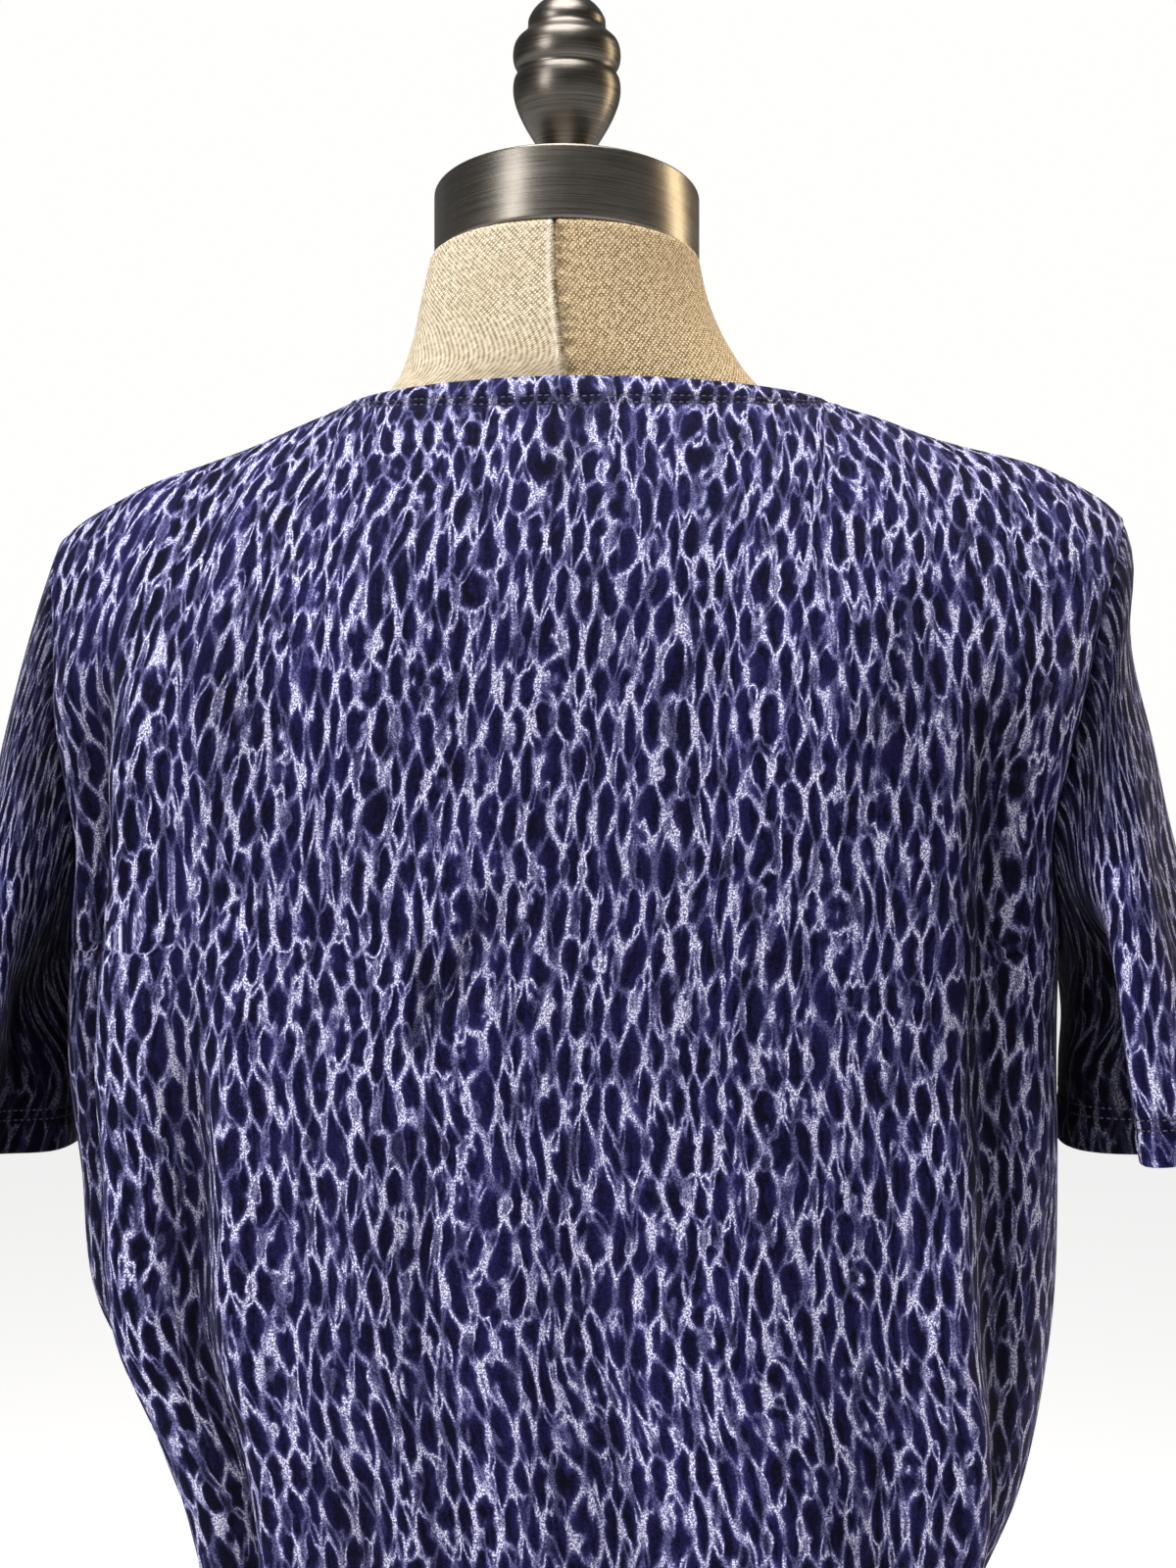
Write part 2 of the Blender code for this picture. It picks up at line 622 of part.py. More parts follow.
def make_cap_and_finial():
    low = FORM[-1].z + SEAM_GAP
    high = low + CAP_HEIGHT
    cap = [(low, CAP_RADIUS), (high - CAP_ROUND, CAP_RADIUS), (high, CAP_RADIUS - CAP_ROUND)]
    turned("neck_cap", cap, NECK_Y, tilted=len(cap))
    finial = [(FINIAL_TOP - down, radius) for down, radius in PROFILE]
    finial[0] = (high + SEAM_GAP, finial[0][1])
    turned("finial", finial, NECK_Y, tilted=1)


def make_stand():
    plate_top = FORM[0].z - SEAM_GAP
    plate_low = plate_top - PLATE_HEIGHT
    turned("form_plate", [(plate_low, PLATE_RADIUS), (plate_top, PLATE_RADIUS)])
    foot_top = FOOT[-1][0]
    turned("pole", [(foot_top + SEAM_GAP, POLE_RADIUS), (plate_low - SEAM_GAP, POLE_RADIUS)])
    turned("base", FOOT)


clear_scene()
make_tunic()
make_form()
make_cap_and_finial()
make_stand()
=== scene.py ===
# %% [markdown]
# A short-sleeved tunic in printed velour rests on a limbless dress form. Its solids are
# already made: metres, floor at z = 0, the back at +Y, the wearer's left at +X.
# This script gives every piece its real surface. Loading the solids first fixes where
# everything goes, so nothing has to be fitted afterwards.

# %% Load the frame
from collections import namedtuple
from math import cos, pi, radians, sin, tan

import bmesh
import bpy
import numpy as np
from mathutils import Matrix, Vector, noise


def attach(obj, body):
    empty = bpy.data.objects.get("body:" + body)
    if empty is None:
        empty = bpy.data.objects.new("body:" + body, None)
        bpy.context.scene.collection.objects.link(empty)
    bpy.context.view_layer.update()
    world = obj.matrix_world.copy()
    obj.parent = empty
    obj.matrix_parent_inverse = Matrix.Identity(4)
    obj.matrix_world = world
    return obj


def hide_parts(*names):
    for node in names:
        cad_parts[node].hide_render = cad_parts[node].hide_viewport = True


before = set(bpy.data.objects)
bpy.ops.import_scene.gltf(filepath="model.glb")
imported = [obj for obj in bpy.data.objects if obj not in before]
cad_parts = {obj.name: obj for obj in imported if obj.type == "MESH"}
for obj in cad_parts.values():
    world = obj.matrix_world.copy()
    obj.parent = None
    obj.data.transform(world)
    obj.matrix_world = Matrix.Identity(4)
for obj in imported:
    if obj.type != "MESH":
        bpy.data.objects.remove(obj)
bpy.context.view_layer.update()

# %% [markdown]
# The camera comes first, because it decides how fine each piece has to be. The photograph
# looks level at the upper back from about a metre away, a little from the wearer's right.
# A lens of 54 mm on a 36 mm frame gives its angle.

# %% Camera
CAMERA_PLACE = Vector((-0.0911, 1.0059, 1.232))
CAMERA_TURN = radians(184.6)
LENS = 54.0

camera_data = bpy.data.cameras.new("camera")
camera_data.lens = LENS
camera_data.sensor_width = 36.0
camera_data.clip_start = 0.05
camera = bpy.data.objects.new("camera", camera_data)
camera.location = CAMERA_PLACE
camera.rotation_euler = (radians(90), 0, CAMERA_TURN)
bpy.context.scene.collection.objects.link(camera)
bpy.context.scene.camera = camera
bpy.context.scene.view_settings.view_transform = "Standard"
print("camera at", tuple(CAMERA_PLACE))

# %% [markdown]
# Soft studio light: one big white window on the camera's left, a weaker warm one far round
# on the right, one overhead, and a wide soft sun that evens out the floor. The two side
# windows also draw the bright upright streaks on the metal, so their places were worked
# out from those streaks.

# %% Lights
AIM = Vector((0.0, 0.0, 1.25))
Lamp = namedtuple("Lamp", "name place width height watts colour")
LAMPS = [
    Lamp("window_left", (1.55, 1.75, 2.05), 0.75, 1.6, 36.0, (1.0, 0.985, 0.96)),
    Lamp("window_right", (-1.75, -0.75, 1.75), 0.5, 1.5, 24.0, (1.0, 0.80, 0.50)),
    Lamp("window_top", (0.1, 0.35, 3.0), 1.3, 1.3, 68.0, (1.0, 0.98, 0.95)),
]
SUN_ENERGY = 0.33
SUN_ANGLE = radians(60)
SUN_DIRECTION = Vector((-0.45, -0.75, -0.9))


def add_light(light, place, direction):
    """Link a light that shines in a direction."""
    holder = bpy.data.objects.new(light.name, light)
    holder.location = place
    holder.rotation_euler = direction.to_track_quat("-Z", "Y").to_euler()
    bpy.context.scene.collection.objects.link(holder)


for lamp in LAMPS:
    window = bpy.data.lights.new(lamp.name, "AREA")
    window.shape = "RECTANGLE"
    window.size = lamp.width
    window.size_y = lamp.height
    window.energy = lamp.watts
    window.color = lamp.colour
    add_light(window, lamp.place, AIM - Vector(lamp.place))
sun = bpy.data.lights.new("skylight", "SUN")
sun.energy = SUN_ENERGY
sun.angle = SUN_ANGLE
add_light(sun, (0, 0, 0), SUN_DIRECTION)
print("lights:", [lamp.name for lamp in LAMPS])

# %% [markdown]
# Materials are node trees, and long trees are hard to read. A small class that wraps one
# socket lets numbers on a surface be written as sums and products, and one method makes
# every other kind of node. Two more functions turn a bmesh into an object, give it its
# materials and hide the solid that it stands for, because every piece ends in the same way.

# %% Helpers for materials and objects


class Signal:
    """One output socket of a node tree that works in Python expressions."""

    def __init__(self, tree, socket=None):
        self.tree = tree
        self.socket = socket

    def node(self, kind, settings=None, sockets=None, output=0):
        """Add a node: its settings first, then the values or links of its sockets."""
        made = self.tree.nodes.new(kind)
        for name, value in (settings or {}).items():
            if name == "stops":
                ramp = made.color_ramp.elements
                while len(ramp) < len(value):
                    ramp.new(1.0)
                for stop, (place, colour) in zip(ramp, value):
                    stop.position = place
                    stop.color = colour
            else:
                setattr(made, name, value)
        for name, value in (sockets or {}).items():
            if isinstance(value, Signal):
                self.tree.links.new(value.socket, made.inputs[name])
            else:
                made.inputs[name].default_value = value
        return Signal(self.tree, made.outputs[output]) if made.outputs else None

    def math(self, operation, first, second=0.0):
        return self.node("ShaderNodeMath", {"operation": operation}, {0: first, 1: second})

    def __add__(self, other):
        return self.math("ADD", self, other)

    __radd__ = __add__

    def __sub__(self, other):
        return self.math("SUBTRACT", self, other)

    def __rsub__(self, other):
        return self.math("SUBTRACT", other, self)

    def __mul__(self, other):
        return self.math("MULTIPLY", self, other)

    __rmul__ = __mul__

    def __abs__(self):
        return self.math("ABSOLUTE", self)

    def floor(self):
        return self.math("FLOOR", self)

    def least(self, other):
        return self.math("MINIMUM", self, other)

    def most(self, other):
        return self.math("MAXIMUM", self, other)

    def step(self, low, high, start=0.0, end=1.0):
        """A soft step between two values; low may be above high."""
        return self.node("ShaderNodeMapRange", {"interpolation_type": "SMOOTHSTEP"},
                         {"Value": self, "From Min": low, "From Max": high,
                          "To Min": start, "To Max": end})

    def vector(self, operation, other):
        return self.node("ShaderNodeVectorMath", {"operation": operation}, {0: self, 1: other})

    def scaled(self, factor):
        return self.node("ShaderNodeVectorMath", {"operation": "SCALE"},
                         {0: self, "Scale": factor})

    def parts(self):
        """The three parts of a vector or colour."""
        made = self.node("ShaderNodeSeparateXYZ", None, {0: self})
        return [Signal(self.tree, part) for part in made.socket.node.outputs]

    def noise(self, scale, detail=2.0, output=0, dimensions="3D"):
        return self.node("ShaderNodeTexNoise", {"noise_dimensions": dimensions},
                         {"Vector": self, "Scale": scale, "Detail": detail}, output)

    def blend(self, first, second):
        """A colour between two others; this signal is the factor."""
        return self.node("ShaderNodeMix", {"data_type": "RGBA"},
                         {0: self, 6: first, 7: second}, 2)


def new_material(name):
    """An empty material and the signal that starts its nodes."""
    made = bpy.data.materials.new(name)
    made.use_nodes = True
    made.node_tree.nodes.clear()
    return made, Signal(made.node_tree)


def finish_material(start, sockets):
    """Close a material with a Principled shader that has these sockets."""
    shader = start.node("ShaderNodeBsdfPrincipled", None, sockets)
    start.node("ShaderNodeOutputMaterial", None, {"Surface": shader})


def bump(height, strength, distance):
    return height.node("ShaderNodeBump", None,
                       {"Height": height, "Strength": strength, "Distance": distance})


def new_object(bm, name, sharp=None):
    """A smooth object at the origin; edges steeper than the sharp angle stay sharp."""
    mesh = bpy.data.meshes.new(name)
    bm.to_mesh(mesh)
    bm.free()
    mesh.shade_smooth()
    if sharp is not None:
        mesh.set_sharp_from_angle(angle=sharp)
    made = bpy.data.objects.new(name, mesh)
    bpy.context.scene.collection.objects.link(made)
    return made


def declare(made, materials, node=None):
    """Give a piece its materials, attach it to the root, and hide the solid that it replaces.
    """
    for material in materials:
        made.data.materials.append(material)
    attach(made, "root")
    if node:
        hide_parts(node)


print("helpers ready")

# %% [markdown]
# The floor is a plain pale sheet, and the world is a pale sky. The camera sees the sky
# brighter than it shines, as a studio backdrop that is lit on its own.

# %% Floor and sky
SKY_SEEN = 1.0
SKY_LIGHT = 0.17
SKY_COLOUR = (1.0, 0.995, 0.985, 1.0)
FLOOR_SIZE = 60.0
FLOOR_COLOUR = (0.9, 0.9, 0.9, 1.0)
FLOOR_GLOW = 0.62


def make_floor():
    bm = bmesh.new()
    bmesh.ops.create_grid(bm, x_segments=1, y_segments=1, size=FLOOR_SIZE / 2)
    floor = new_object(bm, "floor")
    made, start = new_material("floor_paint")
    finish_material(start, {"Base Color": FLOOR_COLOUR, "Roughness": 0.9,
                            "Emission Color": (1.0, 1.0, 1.0, 1.0),
                            "Emission Strength": FLOOR_GLOW})
    floor.data.materials.append(made)


def make_sky():
    world = bpy.data.worlds.new("sky")
    bpy.context.scene.world = world
    world.use_nodes = True
    world.node_tree.nodes.clear()
    start = Signal(world.node_tree)
    seen = start.node("ShaderNodeLightPath", output=0)
    strength = seen * (SKY_SEEN - SKY_LIGHT) + SKY_LIGHT
    sky = start.node("ShaderNodeBackground", None,
                     {"Color": SKY_COLOUR, "Strength": strength})
    start.node("ShaderNodeOutputWorld", None, {"Surface": sky})


make_floor()
make_sky()
print("floor and sky ready")

# %% [markdown]
# The tunic is four cut pieces: back, front and two sleeves. Each is a sheet that stands on
# the same rule as its solid, only much finer, so the tables below are the garment's real
# sizes. Heights run up from the floor, and a section row says how far the cloth stands
# from the middle to each side, to the back and to the front.

# %% Sizes of the garment
LEFT, RIGHT = 1, -1
BACK, FRONT = 1, -1

WALL = 0.002
HEM_WALL = 0.0034
SEAM_GAP = 0.0003
HEM_Z = 0.700
UNDERARM_Z = 1.163
NECK_X = -0.0105
NECK_HALF = 0.100
BACK_NECK_Z = 1.3974
FRONT_NECK_DROP = 0.092
TIP_OUT = 0.2235
NECK_SHARE = 0.40
SHOULDER_ROUND = {BACK: 0.130, FRONT: 0.150}
RIDGE_ARCH = 0.027
ARMHOLE_DEPTH = {BACK: 0.060, FRONT: 0.062}
ARMHOLE_SQUARE = 2.4
CUT_BELOW = 0.15
STAND_ABOVE = 0.60
SOFT_FROM = 0.30
SOFT_TO = 0.70
SOFT_EDGE = 1.3
SETTLE = 0.200
SEAM_FADE = 0.020
SECTION_STEPS = 91

BodyRow = namedtuple("BodyRow", "z left right back front corner")
BODY = [BodyRow(*row) for row in [
    (0.700, 0.158, 0.172, 0.150, 0.165, 2.2),
    (0.780, 0.146, 0.163, 0.146, 0.160, 2.2),
    (0.850, 0.1415, 0.164, 0.140, 0.157, 2.2),
    (0.893, 0.1435, 0.1735, 0.134, 0.155, 2.3),
    (0.938, 0.156, 0.192, 0.127, 0.152, 2.4),
    (0.975, 0.1745, 0.200, 0.121, 0.149, 2.5),
    (1.006, 0.1945, 0.2045, 0.117, 0.147, 2.6),
    (1.073, 0.2050, 0.2075, 0.115, 0.143, 2.7),
    (1.120, 0.2100, 0.2068, 0.114, 0.141, 2.7),
    (1.163, 0.2085, 0.2080, 0.113, 0.138, 2.7),
    (1.200, 0.2085, 0.2110, 0.112, 0.134, 2.7),
    (1.250, 0.2060, 0.2120, 0.110, 0.126, 2.8),
    (1.290, 0.2065, 0.2175, 0.108, 0.117, 2.8),
    (1.320, 0.2105, 0.2262, 0.106, 0.108, 2.6),
    (1.345, 0.2132, 0.2340, 0.104, 0.104, 2.4),
    (1.400, 0.2132, 0.2340, 0.104, 0.104, 2.4),
]]

ShoulderRow = namedtuple("ShoulderRow", "out left right")
SHOULDER = [ShoulderRow(*row) for row in [
    (0.100, 1.3958, 1.3944),
    (0.125, 1.3851, 1.3859),
    (0.150, 1.3752, 1.3769),
    (0.175, 1.3661, 1.3698),
    (0.193, 1.3594, 1.3639),
    (0.207, 1.3520, 1.3565),
    (0.217, 1.3455, 1.3495),
    (0.2235, 1.3400, 1.3432),
]]

# Long folds: top and bottom as (distance along the cloth from the centre line, height),
# then how far the fold stands out, its half-width and its fading length
FoldRow = namedtuple("FoldRow", "top_s top_z low_s low_z depth width fade")
FOLDS = {
    BACK: [
        (0.116, 1.200, 0.136, 0.700, 0.007, 0.013, 0.10),
        (0.138, 1.180, 0.160, 0.700, -0.010, 0.013, 0.12),
        (0.176, 1.290, 0.182, 0.700, 0.008, 0.014, 0.06),
        (0.200, 1.300, 0.206, 0.860, -0.011, 0.013, 0.05),
        (-0.160, 1.130, -0.158, 0.700, 0.008, 0.013, 0.12),
        (-0.184, 1.290, -0.188, 0.700, -0.009, 0.014, 0.06),
        (-0.050, 1.140, -0.062, 0.700, 0.004, 0.030, 0.20),
        (0.045, 1.250, 0.050, 0.700, 0.003, 0.028, 0.20),
        (-0.005, 1.100, -0.008, 0.700, -0.004, 0.026, 0.25),
        (-0.112, 1.050, -0.112, 0.700, -0.005, 0.022, 0.20),
    ],
    FRONT: [
        (0.085, 1.120, 0.100, 0.700, 0.009, 0.018, 0.15),
        (0.128, 1.100, 0.142, 0.700, -0.010, 0.016, 0.15),
        (0.165, 1.240, 0.176, 0.700, 0.008, 0.015, 0.08),
        (0.020, 1.060, 0.034, 0.700, -0.007, 0.024, 0.20),
        (-0.030, 1.000, -0.030, 0.700, 0.006, 0.022, 0.20),
        (-0.092, 1.130, -0.088, 0.700, 0.008, 0.017, 0.15),
        (-0.130, 1.110, -0.128, 0.700, -0.009, 0.016, 0.15),
        (-0.166, 1.230, -0.166, 0.700, 0.008, 0.015, 0.08),
    ],
}

SleeveRow = namedtuple("SleeveRow", "t out_x out_z in_x in_z back front")
SLEEVES = {
    LEFT: [
        (0.00, 0.2135, 1.3400, 0.2088, 1.163, 0.062, 0.068),
        (0.07, 0.2175, 1.3270, 0.2094, 1.157, 0.063, 0.069),
        (0.14, 0.2228, 1.3090, 0.2100, 1.151, 0.064, 0.070),
        (0.34, 0.2365, 1.2556, 0.2118, 1.135, 0.067, 0.073),
        (0.67, 0.2580, 1.1680, 0.2140, 1.106, 0.070, 0.077),
        (1.00, 0.2830, 1.0800, 0.2160, 1.074, 0.072, 0.080),
    ],
    RIGHT: [
        (0.00, 0.2340, 1.3432, 0.2083, 1.163, 0.062, 0.068),
        (0.07, 0.2380, 1.3270, 0.2096, 1.158, 0.063, 0.069),
        (0.14, 0.2364, 1.3040, 0.2107, 1.153, 0.064, 0.070),
        (0.34, 0.2465, 1.2480, 0.2122, 1.138, 0.067, 0.073),
        (0.67, 0.2650, 1.1680, 0.2112, 1.111, 0.070, 0.077),
        (1.00, 0.2870, 1.0850, 0.2097, 1.081, 0.072, 0.080),
    ],
}
SLEEVE_SQUARE = 2.2
ARMHOLE_SHAPE_ENDS = 0.5
SLEEVE_FOLD_GROWTH = 0.4

# Folds of the sleeves: place round the arm (0 outer, 90 back, 180 underarm, 270 front)
SleeveFold = namedtuple("SleeveFold", "degrees depth width start")
SLEEVE_FOLDS = {
    LEFT: [
        (128, -0.007, 16, 0.075),
        (96, 0.004, 16, 0.10),
        (52, -0.004, 18, 0.15),
        (232, -0.006, 16, 0.10),
        (300, 0.004, 18, 0.15),
    ],
    RIGHT: [
        (130, -0.012, 16, 0.06),
        (98, 0.005, 15, 0.075),
        (55, -0.004, 18, 0.15),
        (235, -0.007, 16, 0.10),
        (305, 0.004, 18, 0.15),
    ],
}
print("garment tables:", len(BODY), "sections,", len(FOLDS[BACK]), "long folds on the back")

# %% [markdown]
# Between the rows of a table the cloth runs smoothly. One function makes such a curve from
# a column, and the section function joins the curves into a point of the torso: theta is 0
# at the centre line and 90 degrees at the side.

# %% Torso surface


def smooth_curve(places, values):
    """A smooth curve through a table's column, level beyond its ends."""
    places = np.array(places)
    values = np.array(values)
    slopes = np.gradient(values, places)

    def value(place):
        place = np.clip(place, places[0], places[-1])
        i = np.clip(np.searchsorted(places, place) - 1, 0, len(places) - 2)
        span = places[i + 1] - places[i]
        t = (place - places[i]) / span
        start = (1 + 2 * t) * (1 - t) ** 2 * values[i] + t * (1 - t) ** 2 * span * slopes[i]
        end = t * t * (3 - 2 * t) * values[i + 1] - t * t * (1 - t) * span * slopes[i + 1]
        return start + end

    return value


def columns(rows, key):
    """One smooth curve for each other column of a table, against its key column."""
    places = [getattr(row, key) for row in rows]
    return {name: smooth_curve(places, [getattr(row, name) for row in rows])
            for name in rows[0]._fields if name != key}


def ease(value):
    value = np.clip(value, 0, 1)
    return value * value * (3 - 2 * value)


def unit(vectors):
    return vectors / np.linalg.norm(vectors, axis=-1, keepdims=True)


def powered(value, power):
    """A power that keeps the sign."""
    return np.sign(value) * np.abs(value) ** power


def run_along(line):
    """Running length along a line of points."""
    return np.concatenate([[0], np.cumsum(np.linalg.norm(np.diff(line, axis=0), axis=1))])


def points_at(line, run, places):
    """Points of a line, or directions along it, at places of its running length."""
    return np.stack([np.interp(places, run, line[:, k]) for k in range(3)], axis=-1)


def along_rows(points):
    """Running length along each row of a grid of points."""
    steps = np.linalg.norm(np.diff(points, axis=1), axis=2)
    return np.concatenate([np.zeros((len(points), 1)), np.cumsum(steps, axis=1)], axis=1)


body = columns(BODY, "z")
shoulder = columns(SHOULDER, "out")


def shoulder_z(x):
    """Height of the shoulder line above x, carried across the neck as a low arch."""
    out = np.abs(x - NECK_X)
    slope = np.where(x > NECK_X, shoulder["left"](out), shoulder["right"](out))
    arch = RIDGE_ARCH * np.cos(pi / 2 * np.minimum(out / NECK_HALF, 1))
    return slope + arch


def middle_and_half(z):
    """Where the middle of a section lies, and how far it reaches to each side."""
    left, right = body["left"](z), body["right"](z)
    return (left - right) / 2, (left + right) / 2


def tip_z(side):
    return SHOULDER[-1].left if side == LEFT else SHOULDER[-1].right


def rise_to(top, z):
    """0 at the underarm, 1 at a height on the shoulder."""
    return np.clip((z - UNDERARM_Z) / (top - UNDERARM_Z), 0, 1)


def stand_off(face, top, z):
    """How far an armhole that reaches up to top stands off the plane between the panels."""
    oval = 1 - np.abs(2 * rise_to(top, z) - 1) ** ARMHOLE_SQUARE
    return ARMHOLE_DEPTH[face] * oval ** (1 / ARMHOLE_SQUARE)


def section(face, side, z, theta):
    """A point of the plain torso surface."""
    centre, half = middle_and_half(z)
    corner = body["corner"](z)
    x = centre + side * half * np.sin(theta) ** (2 / corner)
    rise = rise_to(shoulder_z(x), z)
    stand = ease((rise - CUT_BELOW) / (STAND_ABOVE - CUT_BELOW))
    edge_y = stand_off(face, shoulder_z(x), z) * stand
    soft = corner + (SOFT_EDGE - corner) * ease((rise - SOFT_FROM) / (SOFT_TO - SOFT_FROM))
    depth = body["back" if face == BACK else "front"](z)
    below = np.clip((shoulder_z(x) - z) / SHOULDER_ROUND[face], 0, 1)
    full = depth * np.sqrt(1 - (1 - below) ** 2)
    y = edge_y + (full - edge_y) * np.maximum(np.cos(theta), 0) ** (2 / soft)
    return np.stack([x, face * (y + SEAM_GAP / 2), np.zeros_like(x) + z], axis=-1)


def top_edge(face, share):
    """Where a column ends: on the neckline or on the shoulder seam, as x and z."""
    side = LEFT if share >= 0 else RIGHT
    across = abs(share) / NECK_SHARE
    if across >= 1:
        out = NECK_HALF + (TIP_OUT - NECK_HALF) * (abs(share) - NECK_SHARE) / (1 - NECK_SHARE)
        x = NECK_X + side * out
        return x, float(shoulder_z(x))
    x = NECK_X + side * NECK_HALF * sin(pi / 2 * across)
    point_z = SHOULDER[0].left if side == LEFT else SHOULDER[0].right
    if face == BACK:
        return x, point_z + (BACK_NECK_Z - point_z) * cos(pi / 2 * across) ** 2
    return x, point_z - FRONT_NECK_DROP * cos(pi / 2 * across) ** 2


def armhole_angles(face, side, z):
    """The section angle at which the torso meets the armhole, for each height."""
    sweep = np.linspace(0, pi / 2, SECTION_STEPS)
    lines = section(face, side, z[:, None], sweep[None, :])
    limits = stand_off(face, tip_z(side), z) + SEAM_GAP / 2
    last = [np.interp(-limit, -face * line[:, 1], sweep) for limit, line in zip(limits, lines)]
    return lines, sweep, np.array(last)


def column_angles(face, share, z, top):
    """Even spacing along the cloth low down, turning to the top edge's own spacing."""
    side = LEFT if share >= 0 else RIGHT
    lines, sweep, last = armhole_angles(face, side, z)
    if abs(share) == 1:
        return last
    run = along_rows(lines)
    even = np.array([np.interp(abs(share) * np.interp(end, sweep, way), way, sweep)
                     for end, way in zip(last, run)])
    centre, half = middle_and_half(z)
    across = np.clip(side * (top[0] - centre) / half, 0, 1)
    at_top = np.arcsin(across ** (body["corner"](z) / 2)) * last / (pi / 2)
    return even + (at_top - even) * ease((z - top[1] + SETTLE) / SETTLE)


print("torso surface ready; shoulder tips at", tip_z(LEFT), "and", tip_z(RIGHT))

# %% [markdown]
# A sewn edge shows in its last few millimetres: the fold of a hem is round, its two rows of
# stitches sink into the pile, and a seam pulls both pieces down into a groove. So the grid
# lines crowd close to the edges and stay about 5 mm apart elsewhere.

# %% Grid of the cut pieces
HEM_TURN = 0.022
NECK_TURN = 0.018
SLEEVE_TURN = 0.0185
TWIN_GAP = 0.0040
ROUND_STEPS = [0.0, 0.0003, 0.0008, 0.0016, 0.0028]
SEAM_STEPS = [0.0, 0.0004, 0.0010, 0.0018, 0.0030, 0.0048]
STITCH_SINK_HALF = 0.0009
AFTER_ROUND = 0.002
PLAIN_STEP = 0.003
BEFORE_STITCHES = 0.001
PAST_STITCHES = 0.0025
GRID_STEP = 0.0050
HALF_PANEL = 0.29


def turned_steps(turn):
    """Distances from a turned edge: its round fold, then its two stitched lines."""
    stitched = [line + shift for line in (turn - TWIN_GAP, turn)
                for shift in (-STITCH_SINK_HALF, 0, STITCH_SINK_HALF)]
    plain = list(np.arange(ROUND_STEPS[-1] + AFTER_ROUND, stitched[0] - BEFORE_STITCHES,
                           PLAIN_STEP))
    return ROUND_STEPS + plain + stitched + [turn + PAST_STITCHES]


def fill_between(start, end, step=GRID_STEP):
    """Even places between two ends, without the ends."""
    count = max(int(round((end - start) / step)), 1)
    return list(np.linspace(start, end, count + 1)[1:-1])


def panel_shares():
    """Column places from side to side: close together at the armhole and side seams."""
    near = [1 - d / HALF_PANEL for d in SEAM_STEPS]
    half = [0.0] + fill_between(0.0, near[-1], GRID_STEP / HALF_PANEL) + near[::-1]
    return np.array([-share for share in half[:0:-1]] + half)


def resample(line, distances):
    """Points at given distances back from a line's end."""
    run = run_along(line)
    return points_at(line, run, run[-1] - np.asarray(distances))


SHARES = panel_shares()
print("panel columns:", len(SHARES))

# %% [markdown]
# Folds are soft ridges and troughs that the cloth carries from where it is held to where it
# hangs. The long ones above are in the solids too. The finer ones here are only in the
# cloth: short drag lines from the shoulders and the blades, a narrow slit-like crease beside
# the middle, a small pinch at the neck, and ripples of a millimetre that keep a hanging knit
# from looking moulded. How steep the folds are is kept too, for the painted shade in the
# troughs and the painted highlight on the ridges.

# %% Fine folds
FINE_SLEEVE_FOLDS = {
    LEFT: [
        (148, -0.012, 15, 0.06),
        (74, -0.002, 8, 0.25),
    ],
    RIGHT: [
        (140, -0.017, 17, 0.02),
        (106, 0.004, 9, 0.10),
    ],
}
FINE_FOLDS = {
    BACK: [
        (0.014, 1.200, 0.045, 1.125, -0.0034, 0.0065, 0.030),
        (0.024, 1.225, 0.064, 1.105, 0.0022, 0.010, 0.040),
        (0.0445, 1.190, 0.0440, 1.118, -0.0030, 0.0050, 0.030),
        (0.050, 1.120, 0.056, 0.700, -0.0026, 0.012, 0.060),
        (0.000, 1.395, 0.003, 1.335, -0.0018, 0.0070, 0.020),
        (0.095, 1.330, 0.078, 1.210, 0.0020, 0.016, 0.050),
        (-0.100, 1.330, -0.085, 1.200, 0.0018, 0.015, 0.050),
        (0.150, 1.310, 0.120, 1.225, -0.0030, 0.011, 0.040),
        (-0.150, 1.320, -0.128, 1.210, -0.0026, 0.011, 0.040),
        (0.085, 1.000, 0.098, 0.700, -0.0030, 0.012, 0.080),
        (-0.080, 0.960, -0.088, 0.700, 0.0026, 0.012, 0.080),
        (-0.030, 0.930, -0.036, 0.700, 0.0022, 0.011, 0.080),
        (0.020, 0.900, 0.024, 0.700, 0.0024, 0.012, 0.080),
        (-0.135, 1.000, -0.134, 0.700, 0.0026, 0.008, 0.060),
    ],
    FRONT: [
        (0.055, 1.300, 0.064, 1.160, 0.0020, 0.014, 0.050),
        (-0.060, 1.290, -0.066, 1.150, 0.0020, 0.014, 0.050),
        (0.130, 1.290, 0.105, 1.180, -0.0028, 0.011, 0.040),
        (-0.132, 1.300, -0.108, 1.170, -0.0028, 0.011, 0.040),
        (0.060, 0.980, 0.066, 0.700, -0.0028, 0.011, 0.080),
        (-0.062, 0.960, -0.062, 0.700, -0.0026, 0.011, 0.080),
        (-0.003, 0.940, 0.004, 0.700, 0.0026, 0.012, 0.080),
    ],
}
Ripple = namedtuple("Ripple", "across along height seed")
RIPPLES = [
    Ripple(0.050, 0.170, 0.0014, 3.0),
    Ripple(0.020, 0.060, 0.0005, 11.0),
]


def fold_height(face, s, z):
    """How far the folds move the cloth, and how steep they are, s from the centre line."""
    total = np.zeros_like(z)
    steep = np.zeros_like(z)
    for row in FOLDS[face] + FINE_FOLDS[face]:
        fold = FoldRow(*row)
        down = np.clip((fold.top_z - z) / (fold.top_z - fold.low_z), 0, 1)
        middle = fold.top_s + (fold.low_s - fold.top_s) * down
        starts = ease((fold.top_z - z) / fold.fade)
        ends = 1.0 if fold.low_z <= HEM_Z else ease((z - fold.low_z) / fold.fade)
        shape = starts * ends * np.exp(-((s - middle) / fold.width) ** 2)
        total += fold.depth * shape
        steep += fold.depth / fold.width * shape
    return total, steep


